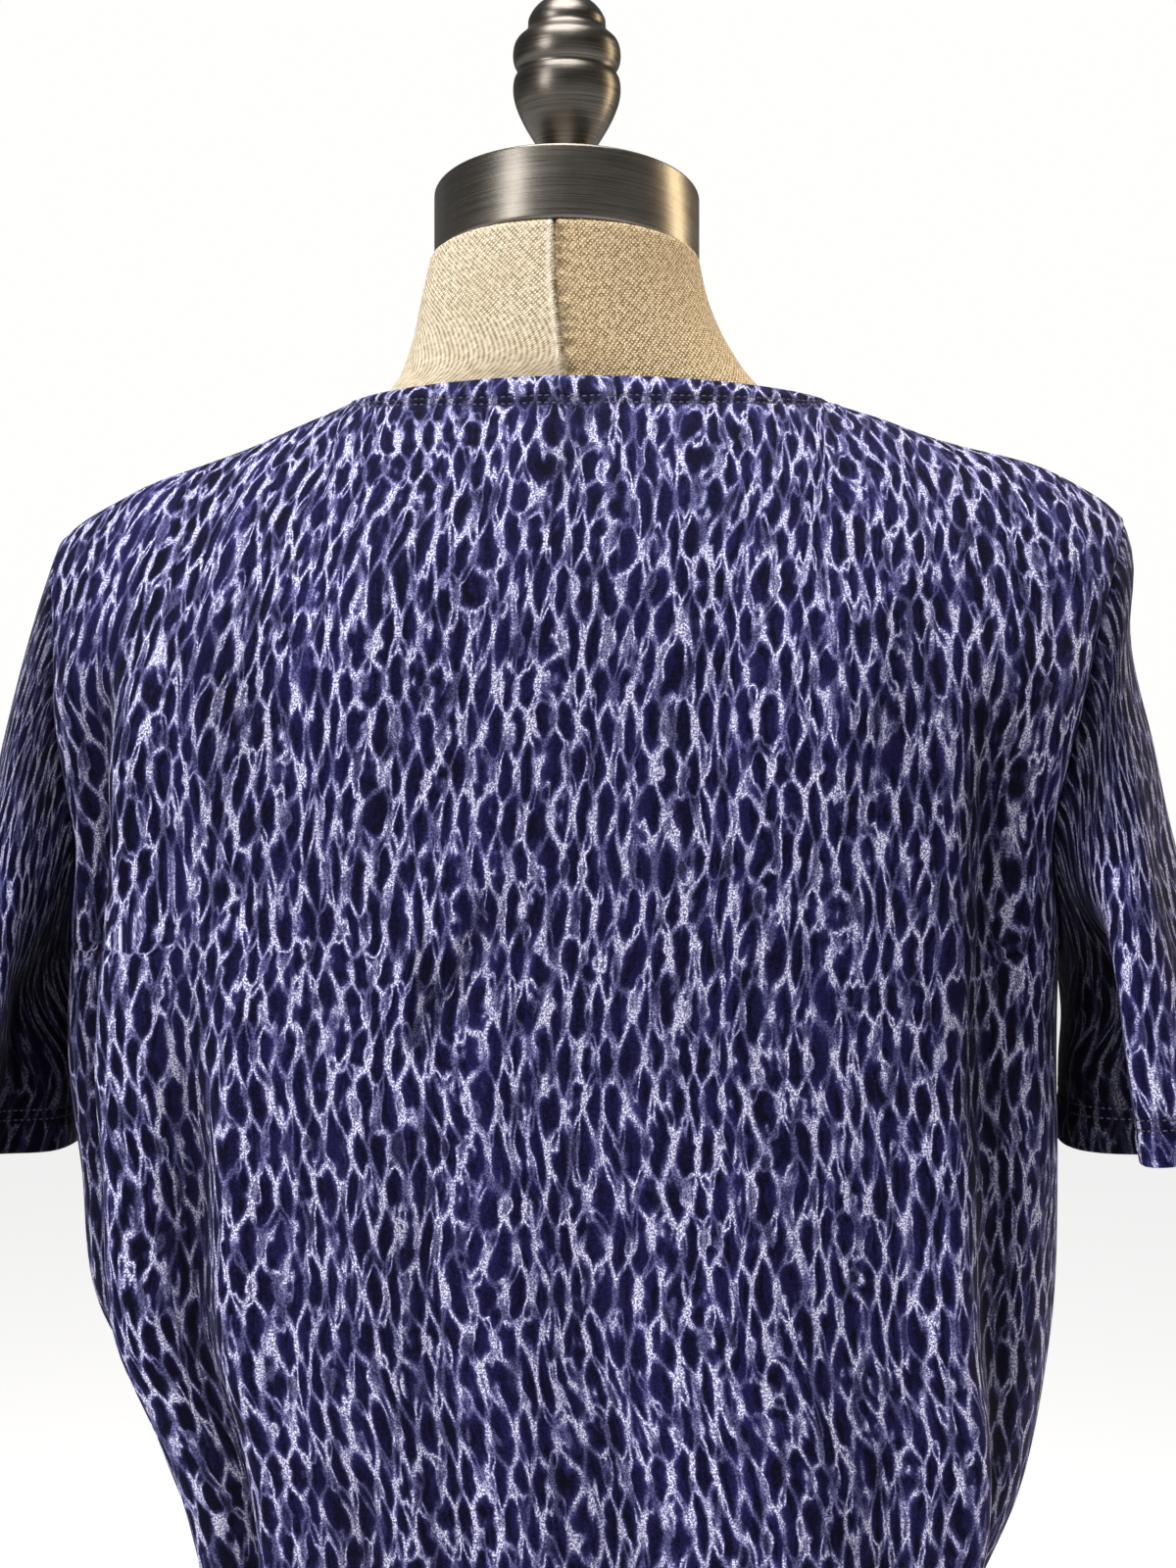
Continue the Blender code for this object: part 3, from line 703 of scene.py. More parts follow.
def ripple_height(across, along, seed):
    """Small uneven waves, longer down the cloth than across it."""
    total = np.zeros_like(across)
    for wave in RIPPLES:
        flat = [noise.noise((a / wave.across, b / wave.along, seed + wave.seed))
                for a, b in zip(across.ravel(), along.ravel())]
        total += wave.height * np.array(flat).reshape(across.shape)
    return total


print("fine folds on the back:", len(FINE_FOLDS[BACK]))

# %% [markdown]
# Each panel starts as a plain surface of points in rows and columns. The low rows are level,
# and the high ones follow the curve up to the neckline or the shoulder seam. Folds then move
# the points along the surface's own outward direction, and fade out at the seams, because
# sewing holds the two pieces to one line there.

# %% Panel surfaces
DENSE = 90
PANEL_SEED = 40.0
HIGH_ROWS = 50
BAND_BUMP = 0.0022
BAND_BUMP_X = -0.116
BAND_BUMP_HALF = 0.0065


def panel_normals(points, face):
    """Outward directions, kept square to the seams in the plane between the panels."""
    across = np.gradient(points, axis=1)
    along = np.gradient(points, axis=0)
    normals = unit(face * np.cross(along, across))
    normals[-1, np.abs(SHARES) >= NECK_SHARE, 1] = 0
    low = points[:, 0, 2] <= UNDERARM_Z
    for edge in (0, -1):
        normals[low, edge, 1] = 0
    return unit(normals)


def plain_panel(face):
    """Rows from the hem to the top edge; returns points and distances from both edges."""
    from_hem = np.array(turned_steps(HEM_TURN))
    low = list(HEM_Z + from_hem)
    low += fill_between(low[-1], UNDERARM_Z) + [UNDERARM_Z]
    low = np.array(low)
    from_top = np.array(turned_steps(NECK_TURN))[::-1]
    total = len(low) + HIGH_ROWS + len(from_top)
    points = np.zeros((total, len(SHARES), 3))
    top_gap = np.zeros((total, len(SHARES)))
    climb = np.sin(pi / 2 * np.linspace(0, 1, DENSE))
    for i, share in enumerate(SHARES):
        side = LEFT if share >= 0 else RIGHT
        top = top_edge(face, share)
        heights = np.concatenate([low, UNDERARM_Z + (top[1] - UNDERARM_Z) * climb[1:]])
        angles = column_angles(face, share, heights, top)
        line = section(face, side, heights, angles)
        high = line[len(low) - 1:]
        length = np.linalg.norm(np.diff(high, axis=0), axis=1).sum()
        even = np.linspace(length, from_top[0], HIGH_ROWS + 2)[1:-1]
        distances = np.concatenate([even, from_top])
        points[:len(low), i] = line[:len(low)]
        points[len(low):, i] = resample(high, distances)
        top_gap[:len(low), i] = length + UNDERARM_Z - low
        top_gap[len(low):, i] = distances
    hem_gap = points[:, :, 2] - HEM_Z
    return points, hem_gap, top_gap


def folded_panel(face):
    """The panel with all its folds, and its distances from hem, top and side edges."""
    points, hem_gap, top_gap = plain_panel(face)
    run = along_rows(points)
    middle = len(SHARES) // 2
    s = run - run[:, middle: middle + 1]
    side_gap = np.minimum(run, run[:, -1:] - run)
    calm = ease(side_gap / SEAM_FADE) * ease(top_gap / SEAM_FADE)
    height, steep = fold_height(face, s, points[:, :, 2])
    height = height + ripple_height(s, points[:, :, 2], PANEL_SEED * face)
    points = points + (height * calm)[..., None] * panel_normals(points, face)
    if face == FRONT:
        bump_shape = np.exp(-((points[..., 0] - BAND_BUMP_X) / BAND_BUMP_HALF) ** 2)
        points[..., 2] += BAND_BUMP * bump_shape * (1 - ease(top_gap / NECK_TURN))
    return points, hem_gap, top_gap, side_gap, steep * calm


panels = {face: folded_panel(face) for face in (BACK, FRONT)}
print("back panel grid:", panels[BACK][0].shape[:2])

# %% [markdown]
# A sleeve is a ring at the armhole that turns into an oval at the hem. The first ring is the
# armhole itself, so the difference between it and the oval is carried down the sleeve and
# fades out half way. The side that faces the body, the cloth at the seam and the sleeve's
# fold troughs get painted shade in their colour, standing in for the shade that falls there.

# %% Sleeve surfaces
SLEEVE_SIDES = 84
ARM_RADIUS = 0.075
# Painted shade: how dark the cloth is painted at the armhole seam and on the side that faces
# the body, and how fast the painted fold shade grows down the sleeve.
SEAM_DUSK = 1.2
SEAM_DUSK_WIDTH = 0.040
CLEFT_DUSK = 1.5
CLEFT_FROM = 108
CLEFT_REACH = 34
FOLD_SHADE_GROWTH = 0.12
SLEEVE_SEED = 70.0
RIPPLE_REACH = 0.08
RIPPLE_SKEW = 0.6
RIPPLE_LENGTH = 0.27
RIPPLE_GROWTH = 0.15


def armhole_ring(side, angles):
    """The armhole's edge at angles from the tip (0) through the back to the underarm."""
    rise = (1 + np.cos(angles)) / 2
    heights = UNDERARM_Z + (tip_z(side) - UNDERARM_Z) * rise
    ring = np.zeros((len(angles), 3))
    for face, half in ((BACK, np.sin(angles) >= 0), (FRONT, np.sin(angles) < 0)):
        z = heights[half]
        last = armhole_angles(face, side, z)[2]
        ring[half] = section(face, side, z, last)
    ring[np.isclose(np.abs(np.cos(angles)), 1), 1] = 0
    return ring


def sleeve_oval(curves, side, t, angles):
    """One loop of a plain sleeve."""
    outer = np.array([side * curves["out_x"](t), 0, curves["out_z"](t)])
    inner = np.array([side * curves["in_x"](t), 0, curves["in_z"](t)])
    power = 2 / SLEEVE_SQUARE
    along = powered(np.cos(angles), power)
    around = powered(np.sin(angles), power)
    depth = np.where(around > 0, curves["back"](t), curves["front"](t))
    loop = (outer + inner) / 2 + along[:, None] * (outer - inner) / 2
    loop[:, 1] = around * depth
    return loop


def sleeve_normals(points, side):
    """Outward directions of a sleeve grid whose first and last columns are the underarm."""
    wrapped = np.concatenate([points[:, -2:-1], points, points[:, 1:2]], axis=1)
    around = wrapped[:, 2:] - wrapped[:, :-2]
    along = np.gradient(points, axis=0)
    return unit(side * np.cross(along, around))


def folded_sleeve(side):
    """Points from the hem up to the armhole, columns from the underarm round to itself."""
    curves = columns([SleeveRow(*row) for row in SLEEVES[side]], "t")
    angles = np.linspace(-pi, pi, SLEEVE_SIDES + 1)
    drift = armhole_ring(side, angles) - sleeve_oval(curves, side, 0, angles)
    steps = np.linspace(0, 1, DENSE)
    ovals = np.array([sleeve_oval(curves, side, t, angles) for t in steps])
    points = ovals + (np.maximum(1 - steps / ARMHOLE_SHAPE_ENDS, 0) ** 2)[:, None, None] * drift
    height = np.zeros(points.shape[:2])
    steep = np.zeros(points.shape[:2])
    degrees = np.degrees(angles) % 360
    for row in SLEEVE_FOLDS[side] + FINE_SLEEVE_FOLDS[side]:
        fold = SleeveFold(*row)
        apart = (degrees - fold.degrees + 180) % 360 - 180
        shape = np.exp(-(apart / fold.width) ** 2)
        grown = steps[:, None] - fold.start
        height += fold.depth * shape * ease(grown / SLEEVE_FOLD_GROWTH)
        ratio = fold.depth / (radians(fold.width) * ARM_RADIUS)
        steep += ratio * shape * ease(grown / FOLD_SHADE_GROWTH)
    around = RIPPLE_REACH * (np.cos(angles) + RIPPLE_SKEW * np.sin(angles))
    down = steps[:, None] * RIPPLE_LENGTH + np.zeros_like(height)
    wave = ripple_height(np.zeros_like(down) + around, down, SLEEVE_SEED + side)
    height += wave * ease(steps / RIPPLE_GROWTH)[:, None]
    points = points + height[..., None] * sleeve_normals(points, side)
    lengths = np.linalg.norm(np.diff(points, axis=0), axis=2).sum(axis=0)
    from_hem = np.array(turned_steps(SLEEVE_TURN))
    from_seam = np.array(SEAM_STEPS)
    count = int(round(lengths.mean() / GRID_STEP))
    made = np.zeros((len(from_hem) + count + len(from_seam), len(angles), 3))
    seam_gap = np.zeros(made.shape[:2])
    painted_shade_term = np.zeros(made.shape[:2])
    for i, length in enumerate(lengths):
        even = np.linspace(length - from_hem[-1], from_seam[-1], count + 2)[1:-1]
        distances = np.concatenate([length - from_hem, even, from_seam[::-1]])
        made[:, i] = resample(points[::-1, i], distances)
        seam_gap[:, i] = distances
        painted_shade_term[:, i] = np.interp(distances, np.linspace(length, 0, DENSE)[::-1], steep[:, i])
    made[:, :, 0] += side * SEAM_GAP
    # Painted shade near the armhole seam on the back and front, and on the side that faces the
    # body, where the body shades the sleeve.
    dusk = SEAM_DUSK * np.sin(angles) ** 2 * np.exp(-(seam_gap / SEAM_DUSK_WIDTH) ** 2)
    inward = np.degrees(np.abs(angles))
    dusk = dusk + CLEFT_DUSK * ease((inward - CLEFT_FROM) / CLEFT_REACH)
    return made, lengths[None, :] - seam_gap, seam_gap, painted_shade_term - dusk


sleeves = {side: folded_sleeve(side) for side in (LEFT, RIGHT)}
print("sleeve grid:", sleeves[LEFT][0].shape[:2])

# %% [markdown]
# Velour is printed before it is cut, so the print follows each piece's own grain and breaks
# at the seams. The grain map below gives every point its flat place in metres: across from
# the centre line, and along from the hem. Where a column of points leans sideways, only its
# upright share counts as length along the grain.

# %% Grain map


def grain_map(points, middle):
    """Flat place of each point: across the grain from the middle column, and along it."""
    run = along_rows(points)
    across = run - run[:, middle: middle + 1]
    steps = np.linalg.norm(np.diff(points, axis=0), axis=2)
    sideways = np.diff(across, axis=0)
    rises = np.sqrt(np.maximum(steps ** 2 - sideways ** 2, 0))
    along = np.concatenate([np.zeros((1, points.shape[1])), np.cumsum(rises, axis=0)])
    return np.stack([across, along], axis=-1)


def flat_area(points):
    """Area of a grid of points, as the sum of its cells."""
    sides = np.diff(points, axis=1)[:-1]
    ups = np.diff(points, axis=0)[:, :-1]
    return float(np.linalg.norm(np.cross(sides, ups), axis=2).sum())


for face, name in ((BACK, "back"), (FRONT, "front")):
    grain = grain_map(panels[face][0], len(SHARES) // 2)
    print(name, "area", round(flat_area(panels[face][0]), 3),
          "width", round(np.ptp(grain[..., 0]), 3), "length", round(grain[..., 1].max(), 3))

# %% [markdown]
# One function makes every piece of cloth. A bmesh grid is stretched over the points, a
# tube's two side columns are merged, and the sheet is extruded into its inner side. The
# thickness and the shape of the edge come from distances: a fold is round, a stitched line
# is pressed in, and a seam rolls down. The inner side has its own plain material. Each point
# also keeps a number for painted light: painted shade in steep troughs, at seams and along
# the stitches, and a little painted highlight on ridges.

# %% Cloth shells
EDGE_LEFT = 0.0003
SEAM_ROLL = 0.0011
SEAM_ROLL_WIDTH = 0.0040
SMOOTH_ROUNDS = 12
SMOOTH_NEAR = 0.030
SEAM_WALL = 0.0010
HEM_EASE = 0.0020
STITCH_DEPTH = 0.0009
STITCH_WIDTH = 0.0011
HEM_PUFF = 0.0005
# Painted shade along the stitches, and how fold steepness becomes painted shade in troughs and
# painted highlight on ridges.
STITCH_DUSK = 0.9
FOLD_SHADE_STRENGTH = 1.15
FOLD_SHADE_CURVE = 0.70
FOLD_SHADE_RANGE = (-1.9, 0.14)
RIM_FROM = 0.020
RIM_COLUMNS = ((0, 3), (1, 3), (-1, -4), (-2, -4))
TOP_REACH = 0.2
MERGE = 0.00001


def calmed(grid, rounds):
    """Average a grid of vectors with its neighbours a few times; the rim stays."""
    grid = grid.copy()
    for _ in range(rounds):
        mean = (grid[:-2, 1:-1] + grid[2:, 1:-1] + grid[1:-1, :-2] + grid[1:-1, 2:]) / 4
        grid[1:-1, 1:-1] = (grid[1:-1, 1:-1] + mean) / 2
    return grid


def edge_round(gap, radius):
    """0 away from a folded edge, 1 at its outermost line, as a quarter circle."""
    near = 1 - np.clip(gap / radius, 0, 1)
    return 1 - np.sqrt(1 - near ** 2)


def stitched_edge(gap, turn):
    """How the outer side moves, and how thick the cloth is, near a turned hem."""
    wall = HEM_WALL + (WALL - HEM_WALL) * ease((gap - turn) / HEM_EASE)
    rounding = edge_round(gap, HEM_WALL / 2)
    shift = -rounding * (HEM_WALL / 2 - EDGE_LEFT)
    wall = wall + 2 * shift
    for line in (turn - TWIN_GAP, turn):
        shift = shift - STITCH_DEPTH * np.exp(-((gap - line) / STITCH_WIDTH) ** 2)
    puff = ease(gap / (turn / 2)) * ease((turn + TWIN_GAP - gap) / (turn / 2))
    return shift + HEM_PUFF * puff, wall


def stitch_dusk(gap, turn):
    """Painted shade along the two rows of stitches."""
    rows = [np.exp(-((gap - line) / STITCH_WIDTH) ** 2) for line in (turn - TWIN_GAP, turn)]
    return STITCH_DUSK * (rows[0] + rows[1])


def seam_edge(gap):
    """The roll of a seam, and the thinner wall at its edge."""
    shift = -SEAM_ROLL * (1 - ease(gap / SEAM_ROLL_WIDTH))
    return shift, SEAM_WALL + (WALL - SEAM_WALL) * ease(gap / SEAM_ROLL_WIDTH)


def map_grain(cell, layers, grain):
    """Give the corners of a face their flat places."""
    row, column, flat = layers
    for loop in cell.loops:
        loop[flat].uv = grain[loop.vert[row], loop.vert[column]]


def stretched_grid(points, grain):
    """A grid of faces over rows of points, which keeps each corner's row and column."""
    rows, across = points.shape[:2]
    bm = bmesh.new()
    bmesh.ops.create_grid(bm, x_segments=across - 1, y_segments=rows - 1, size=1)
    row = bm.verts.layers.int.new("row")
    column = bm.verts.layers.int.new("column")
    layers = (row, column, bm.loops.layers.uv.new("grain"))
    for vertex in bm.verts:
        vertex[row] = round((vertex.co.y + 1) / 2 * (rows - 1))
        vertex[column] = round((vertex.co.x + 1) / 2 * (across - 1))
        vertex.co = points[vertex[row], vertex[column]]
    for cell in bm.faces:
        map_grain(cell, layers, grain)
    return bm, layers


def cloth_shell(name, points, normals, shift, wall, grain, steep, tube):
    """Stretch a grid over the points, close it into a thin wall, map its grain and its painted
    shade.
    """
    # Painted light kept at each point: darker in troughs, at seams and along stitches, a little
    # lighter on ridges.
    light = np.exp(FOLD_SHADE_STRENGTH * np.clip(powered(steep, FOLD_SHADE_CURVE), *FOLD_SHADE_RANGE))
    outer = points + shift[..., None] * normals
    inner = outer - wall[..., None] * normals
    bm, layers = stretched_grid(outer, grain)
    row, column = layers[:2]
    pile = bm.verts.layers.float.new("pile")
    for vertex in bm.verts:
        vertex[pile] = light[vertex[row], vertex[column]]
    if tube:
        bmesh.ops.remove_doubles(bm, verts=bm.verts, dist=MERGE)
    made = bmesh.ops.extrude_face_region(bm, geom=list(bm.faces), use_keep_orig=True)
    copies = {item for item in made["geom"] if isinstance(item, bmesh.types.BMVert)}
    for vertex in copies:
        vertex.co = inner[vertex[row], vertex[column]]
    for cell in bm.faces:
        inside = sum(vertex in copies for vertex in cell.verts)
        cell.material_index = int(inside == len(cell.verts))
        if 0 < inside < len(cell.verts):
            map_grain(cell, layers, grain)
    bmesh.ops.recalc_face_normals(bm, faces=bm.faces)
    if bm.calc_volume(signed=True) < 0:
        bmesh.ops.reverse_faces(bm, faces=bm.faces)
    return new_object(bm, name), outer


cloth = {}
flats = {}
sewn = {}
for face, name in ((BACK, "back"), (FRONT, "front")):
    points, hem_gap, top_gap, side_gap, steep = panels[face]
    normals = panel_normals(points, face)
    near_top = (1 - ease(top_gap / SMOOTH_NEAR))[..., None]
    normals = unit(normals + near_top * (calmed(normals, SMOOTH_ROUNDS) - normals))
    above = ease((points[:, 0, 2] - UNDERARM_Z) / RIM_FROM)[:, None]
    for rim, inside in RIM_COLUMNS:
        normals[:, rim] = unit(normals[:, rim] * (1 - above) + normals[:, inside] * above)
    on_neck = np.abs(SHARES) < NECK_SHARE
    hem_shift, wall = stitched_edge(hem_gap, HEM_TURN)
    neck_shift, neck_wall = stitched_edge(top_gap, NECK_TURN)
    shoulder_shift, shoulder_wall = seam_edge(top_gap)
    side_shift, side_wall = seam_edge(side_gap)
    shift = np.where(on_neck, neck_shift, np.minimum(shoulder_shift, side_shift)) + hem_shift
    wall = np.where(top_gap < TOP_REACH, np.where(on_neck, neck_wall, shoulder_wall), wall)
    wall = np.minimum(wall, np.where(side_gap < SEAM_ROLL_WIDTH, side_wall, wall))
    grain = grain_map(points, len(SHARES) // 2)
    steep = steep - stitch_dusk(hem_gap, HEM_TURN) - on_neck * stitch_dusk(top_gap, NECK_TURN)
    cloth[name], outer = cloth_shell("tunic_" + name, points, normals, shift, wall, grain,
                                     steep, False)
    flats[name] = (grain, points)
    sewn[name] = (outer, normals, [(hem_gap, HEM_TURN, np.ones_like(SHARES, bool)),
                                   (top_gap, NECK_TURN, on_neck)])
for side, name in ((LEFT, "sleeve_left"), (RIGHT, "sleeve_right")):
    points, hem_gap, seam_gap, steep = sleeves[side]
    normals = sleeve_normals(points[::-1], side)[::-1]
    hem_shift, wall = stitched_edge(hem_gap, SLEEVE_TURN)
    seam_shift, seam_wall = seam_edge(seam_gap)
    wall = np.minimum(wall, np.where(seam_gap < SEAM_ROLL_WIDTH, seam_wall, wall))
    grain = grain_map(points, SLEEVE_SIDES // 2)
    steep = steep - stitch_dusk(hem_gap, SLEEVE_TURN)
    cloth[name], outer = cloth_shell("tunic_" + name, points, normals,
                                     hem_shift + seam_shift, wall, grain, steep, True)
    flats[name] = (grain, points)
    sewn[name] = (outer, normals, [(hem_gap, SLEEVE_TURN, np.ones(SLEEVE_SIDES + 1, bool))])
print({name: len(made.data.polygons) for name, made in cloth.items()})

# %% [markdown]
# The print is a tied-and-dyed kind of net: dark indigo lenses between pale, fuzzy strands.
# Two families of upright wavy lines, in opposite phase, touch and part again, and make the
# lenses. Noise bends them, splits some strands in two, lets others fade, and speckles
# everything as velour pile does. It is drawn on the grain map, in millimetres. Noise stays
# mostly between 0.35 and 0.65, so each step names the part of that range where it acts.

# %% Velour
CELL_WIDE = 8.9
CELL_TALL = 36.0
NIGHT = (0.0015, 0.0013, 0.0060, 1.0)
INDIGO = (0.0105, 0.0090, 0.0600, 1.0)
HAZE = (0.048, 0.045, 0.180, 1.0)
LILAC = (0.20, 0.20, 0.46, 1.0)
PALE = (0.62, 0.61, 0.70, 1.0)
REVERSE = (0.030, 0.026, 0.085, 1.0)
MIDDLE = (0.5, 0.5, 0.5)
UPRIGHT = (1.0, 0.42, 0.0)
BEND_REACH = (12.0, 22.0, 0.0)
WOBBLE_REACH = (2.5, 2.4, 0.0)
FUZZ_REACH = (1.0, 1.2, 0.0)
SWAY = (0.22, 0.34)
SPLIT = (0.0, 1.9)
CORE_EDGE = (0.05, 1.40)
HALO_EDGE = (0.2, 2.7)
CROSSING_EDGE = (0.8, 3.4)
PILE_SPECKLE = (0.28, 1.0)
NAP_SPECKLE = (0.55, 1.40)
FAINTEST = 0.16


def strand_gap(x, wave, direction, offset):
    """Distance in mm to the nearest wavy upright line of one family, and the line's number."""
    place = (x + direction * wave) * (1 / CELL_WIDE) + offset
    cell = place.floor()
    return abs(place - cell - 0.5) * CELL_WIDE, cell


def velour_material():
    made, start = new_material("velour")
    flat = start.node("ShaderNodeUVMap", {"uv_map": "grain"}).scaled(1000.0)
    tall = flat.vector("MULTIPLY", UPRIGHT)
    bend = tall.noise(0.045, 1.0, 1, "2D")
    wobble = tall.noise(0.16, 1.0, 1, "2D")
    fuzz = flat.noise(0.80, 1.0, 1, "2D")
    place = flat
    for shift, reach in ((bend, BEND_REACH), (wobble, WOBBLE_REACH), (fuzz, FUZZ_REACH)):
        place = place.vector("ADD", shift.vector("SUBTRACT", MIDDLE).vector("MULTIPLY", reach))
    x, y = place.parts()[:2]
    sway = bend.parts()[2].step(0.36, 0.64, *SWAY)
    wave = start.math("COSINE", y * (2 * pi / CELL_TALL)) * sway * CELL_WIDE
    first, first_cell = strand_gap(x, wave, 1.0, 0.0)
    second, second_cell = strand_gap(x, wave, -1.0, 0.5)
    near = abs(first.least(second) - wobble.parts()[0].step(0.47, 0.66, *SPLIT))
    strength = wobble.parts()[2].step(0.33, 0.62, FAINTEST, 1.0)
    core = near.step(*CORE_EDGE, 1.0, 0.0)
    halo = near.step(*HALO_EDGE, 1.0, 0.0)
    crossing = (first + second).step(*CROSSING_EDGE, 1.0, 0.0)
    line = (core * (strength + 0.12) + crossing * 0.55 * strength).least(1.0)
    line = line * flat.noise(1.25, 1.0, 0, "2D").step(0.36, 0.60, *PILE_SPECKLE)
    cell = start.node("ShaderNodeCombineXYZ", None, {0: first_cell, 1: second_cell})
    chance = start.node("ShaderNodeTexWhiteNoise", {"noise_dimensions": "2D"}, {"Vector": cell})
    ground = (chance * 0.45 + fuzz.parts()[2] * 0.7 - 0.28).step(0.0, 0.9).blend(NIGHT, INDIGO)
    hazed = (halo * strength * 0.65).blend(ground, HAZE)
    colour = line.blend(hazed, (strength * line * 0.88).blend(LILAC, PALE))
    nap = flat.noise(1.9, 1.0, 0, "2D")
    # Painted shade and highlight: the colour is multiplied by the painted light that each point
    # keeps.
    painted_shade_term = start.node("ShaderNodeAttribute", {"attribute_name": "pile"}, output=2)
    colour = colour.scaled(nap.step(0.35, 0.65, *NAP_SPECKLE) * painted_shade_term)
    finish_material(start, {
        "Base Color": colour,
        "Roughness": nap * 0.15 + 0.76,
        "Normal": bump(nap, 0.40, 0.0005),
        "Sheen Weight": 0.03,
        "Sheen Roughness": 0.40,
        "Sheen Tint": (0.80, 0.80, 1.0, 1.0),
        "Specular IOR Level": 0.05,
    })
    return made


def reverse_material():
    """The plain knitted wrong side of the velour."""
    made, start = new_material("velour_reverse")
    flat = start.node("ShaderNodeUVMap", {"uv_map": "grain"}).scaled(1000.0)
    rib = start.node("ShaderNodeTexWave", {"bands_direction": "X"},
                     {"Vector": flat, "Scale": 0.28, "Distortion": 1.2, "Detail": 1.0})
    mottled = flat.noise(0.12, 2.0, 0, "2D")
    finish_material(start, {
        "Base Color": mottled.blend(REVERSE, INDIGO),
        "Roughness": mottled * 0.1 + 0.8,
        "Normal": bump(rib, 0.4, 0.0003),
        "Specular IOR Level": 0.2,
    })
    return made


cloth_sides = (velour_material(), reverse_material())
for name, made in cloth.items():
    declare(made, cloth_sides, name)
print("velour on", len(cloth), "pieces")

# %% [markdown]
# Turned edges are held by a twin needle: two rows of short dark stitches. Each stitch is a
# small ellipsoid with few faces, half sunk in its groove. They are placed by walking along
# a line of the finished surface at the needle's distance from the edge.

# %% Twin-needle stitching
STITCH_PITCH = 0.0030
STITCH_LONG = 0.0024
STITCH_THICK = 0.0011
THREAD = (0.012, 0.010, 0.030, 1.0)
THREAD_LIGHT = (0.035, 0.030, 0.080, 1.0)


def thread_material():
    made, start = new_material("thread")
    place = start.node("ShaderNodeTexCoord", output=3)
    twist = place.noise(2500.0, 1.0)
    finish_material(start, {
        "Base Color": twist.blend(THREAD, THREAD_LIGHT),
        "Roughness": 0.6,
        "Normal": bump(twist, 0.3, 0.0001),
    })
    return made


def edge_line(outer, normals, gaps, distance, keep):
    """Points and outward directions of a surface at a distance from one of its edges."""
    row = np.argmin(np.abs(gaps - distance), axis=0)
    at = np.arange(outer.shape[1])
    return outer[row, at][keep], normals[row, at][keep]


def one_stitch():
    """The stitch that all the others copy: a low ellipsoid, 1 unit to each side."""
    bm = bmesh.new()
    bmesh.ops.create_uvsphere(bm, u_segments=6, v_segments=4, radius=1)
    mesh = bpy.data.meshes.new("stitch")
    bm.to_mesh(mesh)
    bm.free()
    return mesh


def sew(bm, line, normals):
    """Place copies of the stitch along a line."""
    run = run_along(line)
    count = int(run[-1] / STITCH_PITCH)
    places = (np.arange(count) + 0.5) * run[-1] / count
    spots = points_at(line, run, places)
    ends = points_at(line, run, places + STITCH_PITCH / 4)
    ups = unit(points_at(normals, run, places))
    size = Matrix.Diagonal((STITCH_LONG / 2, STITCH_THICK / 2, STITCH_THICK / 2, 1.0))
    for spot, up, end in zip(spots, ups, ends):
        ahead = Vector(end - spot).normalized()
        rise = Vector(up)
        aside = ahead.cross(rise).normalized()
        turn = Matrix((ahead, aside, rise)).transposed().to_4x4()
        copy = stitch.copy()
        copy.transform(Matrix.Translation(spot) @ turn @ size)
        bm.from_mesh(copy)
        bpy.data.meshes.remove(copy)
    return count


thread = thread_material()
stitch = one_stitch()
stitches = {}
for name, (outer, normals, edges) in sewn.items():
    bm = bmesh.new()
    count = 0
    for gaps, turn, keep in edges:
        for back_off in (0, TWIN_GAP):
            count += sew(bm, *edge_line(outer, normals, gaps, turn - back_off, keep))
    stitches[name] = new_object(bm, "stitches_" + name)
    declare(stitches[name], [thread])
    print(stitches[name].name, count, "stitches")

# %% [markdown]
# The dress form is a padded torso under natural linen, cut on the bias, with a puckered
# seam down the middle of the back. Its rows are the solid's rows, drawn finer. Only the
# neck shows in the photograph, so the weave and the seam matter most there.

# %% Dress form
NECK_Y = -0.012
CAP_RADIUS = 0.0575
CAP_TILT = radians(9)
NECK_TILT_FROM = 1.400
FormRow = namedtuple("FormRow", "z half back front corner lean")
FORM = [FormRow(*row) for row in [
    (0.800, 0.128, 0.096, 0.094, 2.3, -0.003),
    (0.812, 0.133, 0.102, 0.099, 2.3, -0.003),
    (0.850, 0.135, 0.104, 0.100, 2.3, -0.003),
    (0.900, 0.131, 0.099, 0.093, 2.2, -0.003),
    (0.985, 0.117, 0.079, 0.084, 2.2, -0.002),
    (1.060, 0.128, 0.083, 0.104, 2.2, -0.002),
    (1.110, 0.140, 0.088, 0.124, 2.2, -0.002),
    (1.150, 0.148, 0.092, 0.127, 2.2, -0.002),
    (1.200, 0.158, 0.095, 0.117, 2.2, -0.003),
    (1.250, 0.170, 0.096, 0.100, 2.2, -0.004),
    (1.290, 0.181, 0.089, 0.084, 2.1, -0.004),
    (1.320, 0.187, 0.076, 0.068, 2.0, -0.004),
    (1.340, 0.185, 0.063, 0.056, 2.0, -0.004),
    (1.354, 0.181, 0.053, 0.048, 2.0, -0.004),
    (1.3621, 0.1705, 0.046, 0.043, 2.0, -0.004),
    (1.3712, 0.1440, 0.044, 0.042, 2.0, -0.004),
    (1.3809, 0.1165, 0.044, 0.044, 2.0, -0.004),
    (1.390, 0.0930, 0.046, 0.049, 2.0, -0.004),
    (1.402, 0.0785, 0.046, 0.054, 2.0, -0.004),
    (1.418, 0.0685, 0.045, 0.060, 2.0, -0.002),
    (1.436, 0.0620, 0.045, 0.066, 2.0, 0.0),
    (1.455, 0.0575, 0.0455, 0.0695, 2.0, 0.0),
]]
FORM_SIDES = 150
FORM_SHARP = radians(50)
TORSO_TOP = 1.34
TORSO_ROWS = 90
NECK_ROWS = 110
LINEN_PER_TURN = 0.046
SEAM_CLOSE = [0.0, 0.006, 0.013, 0.021, 0.030, 0.042]
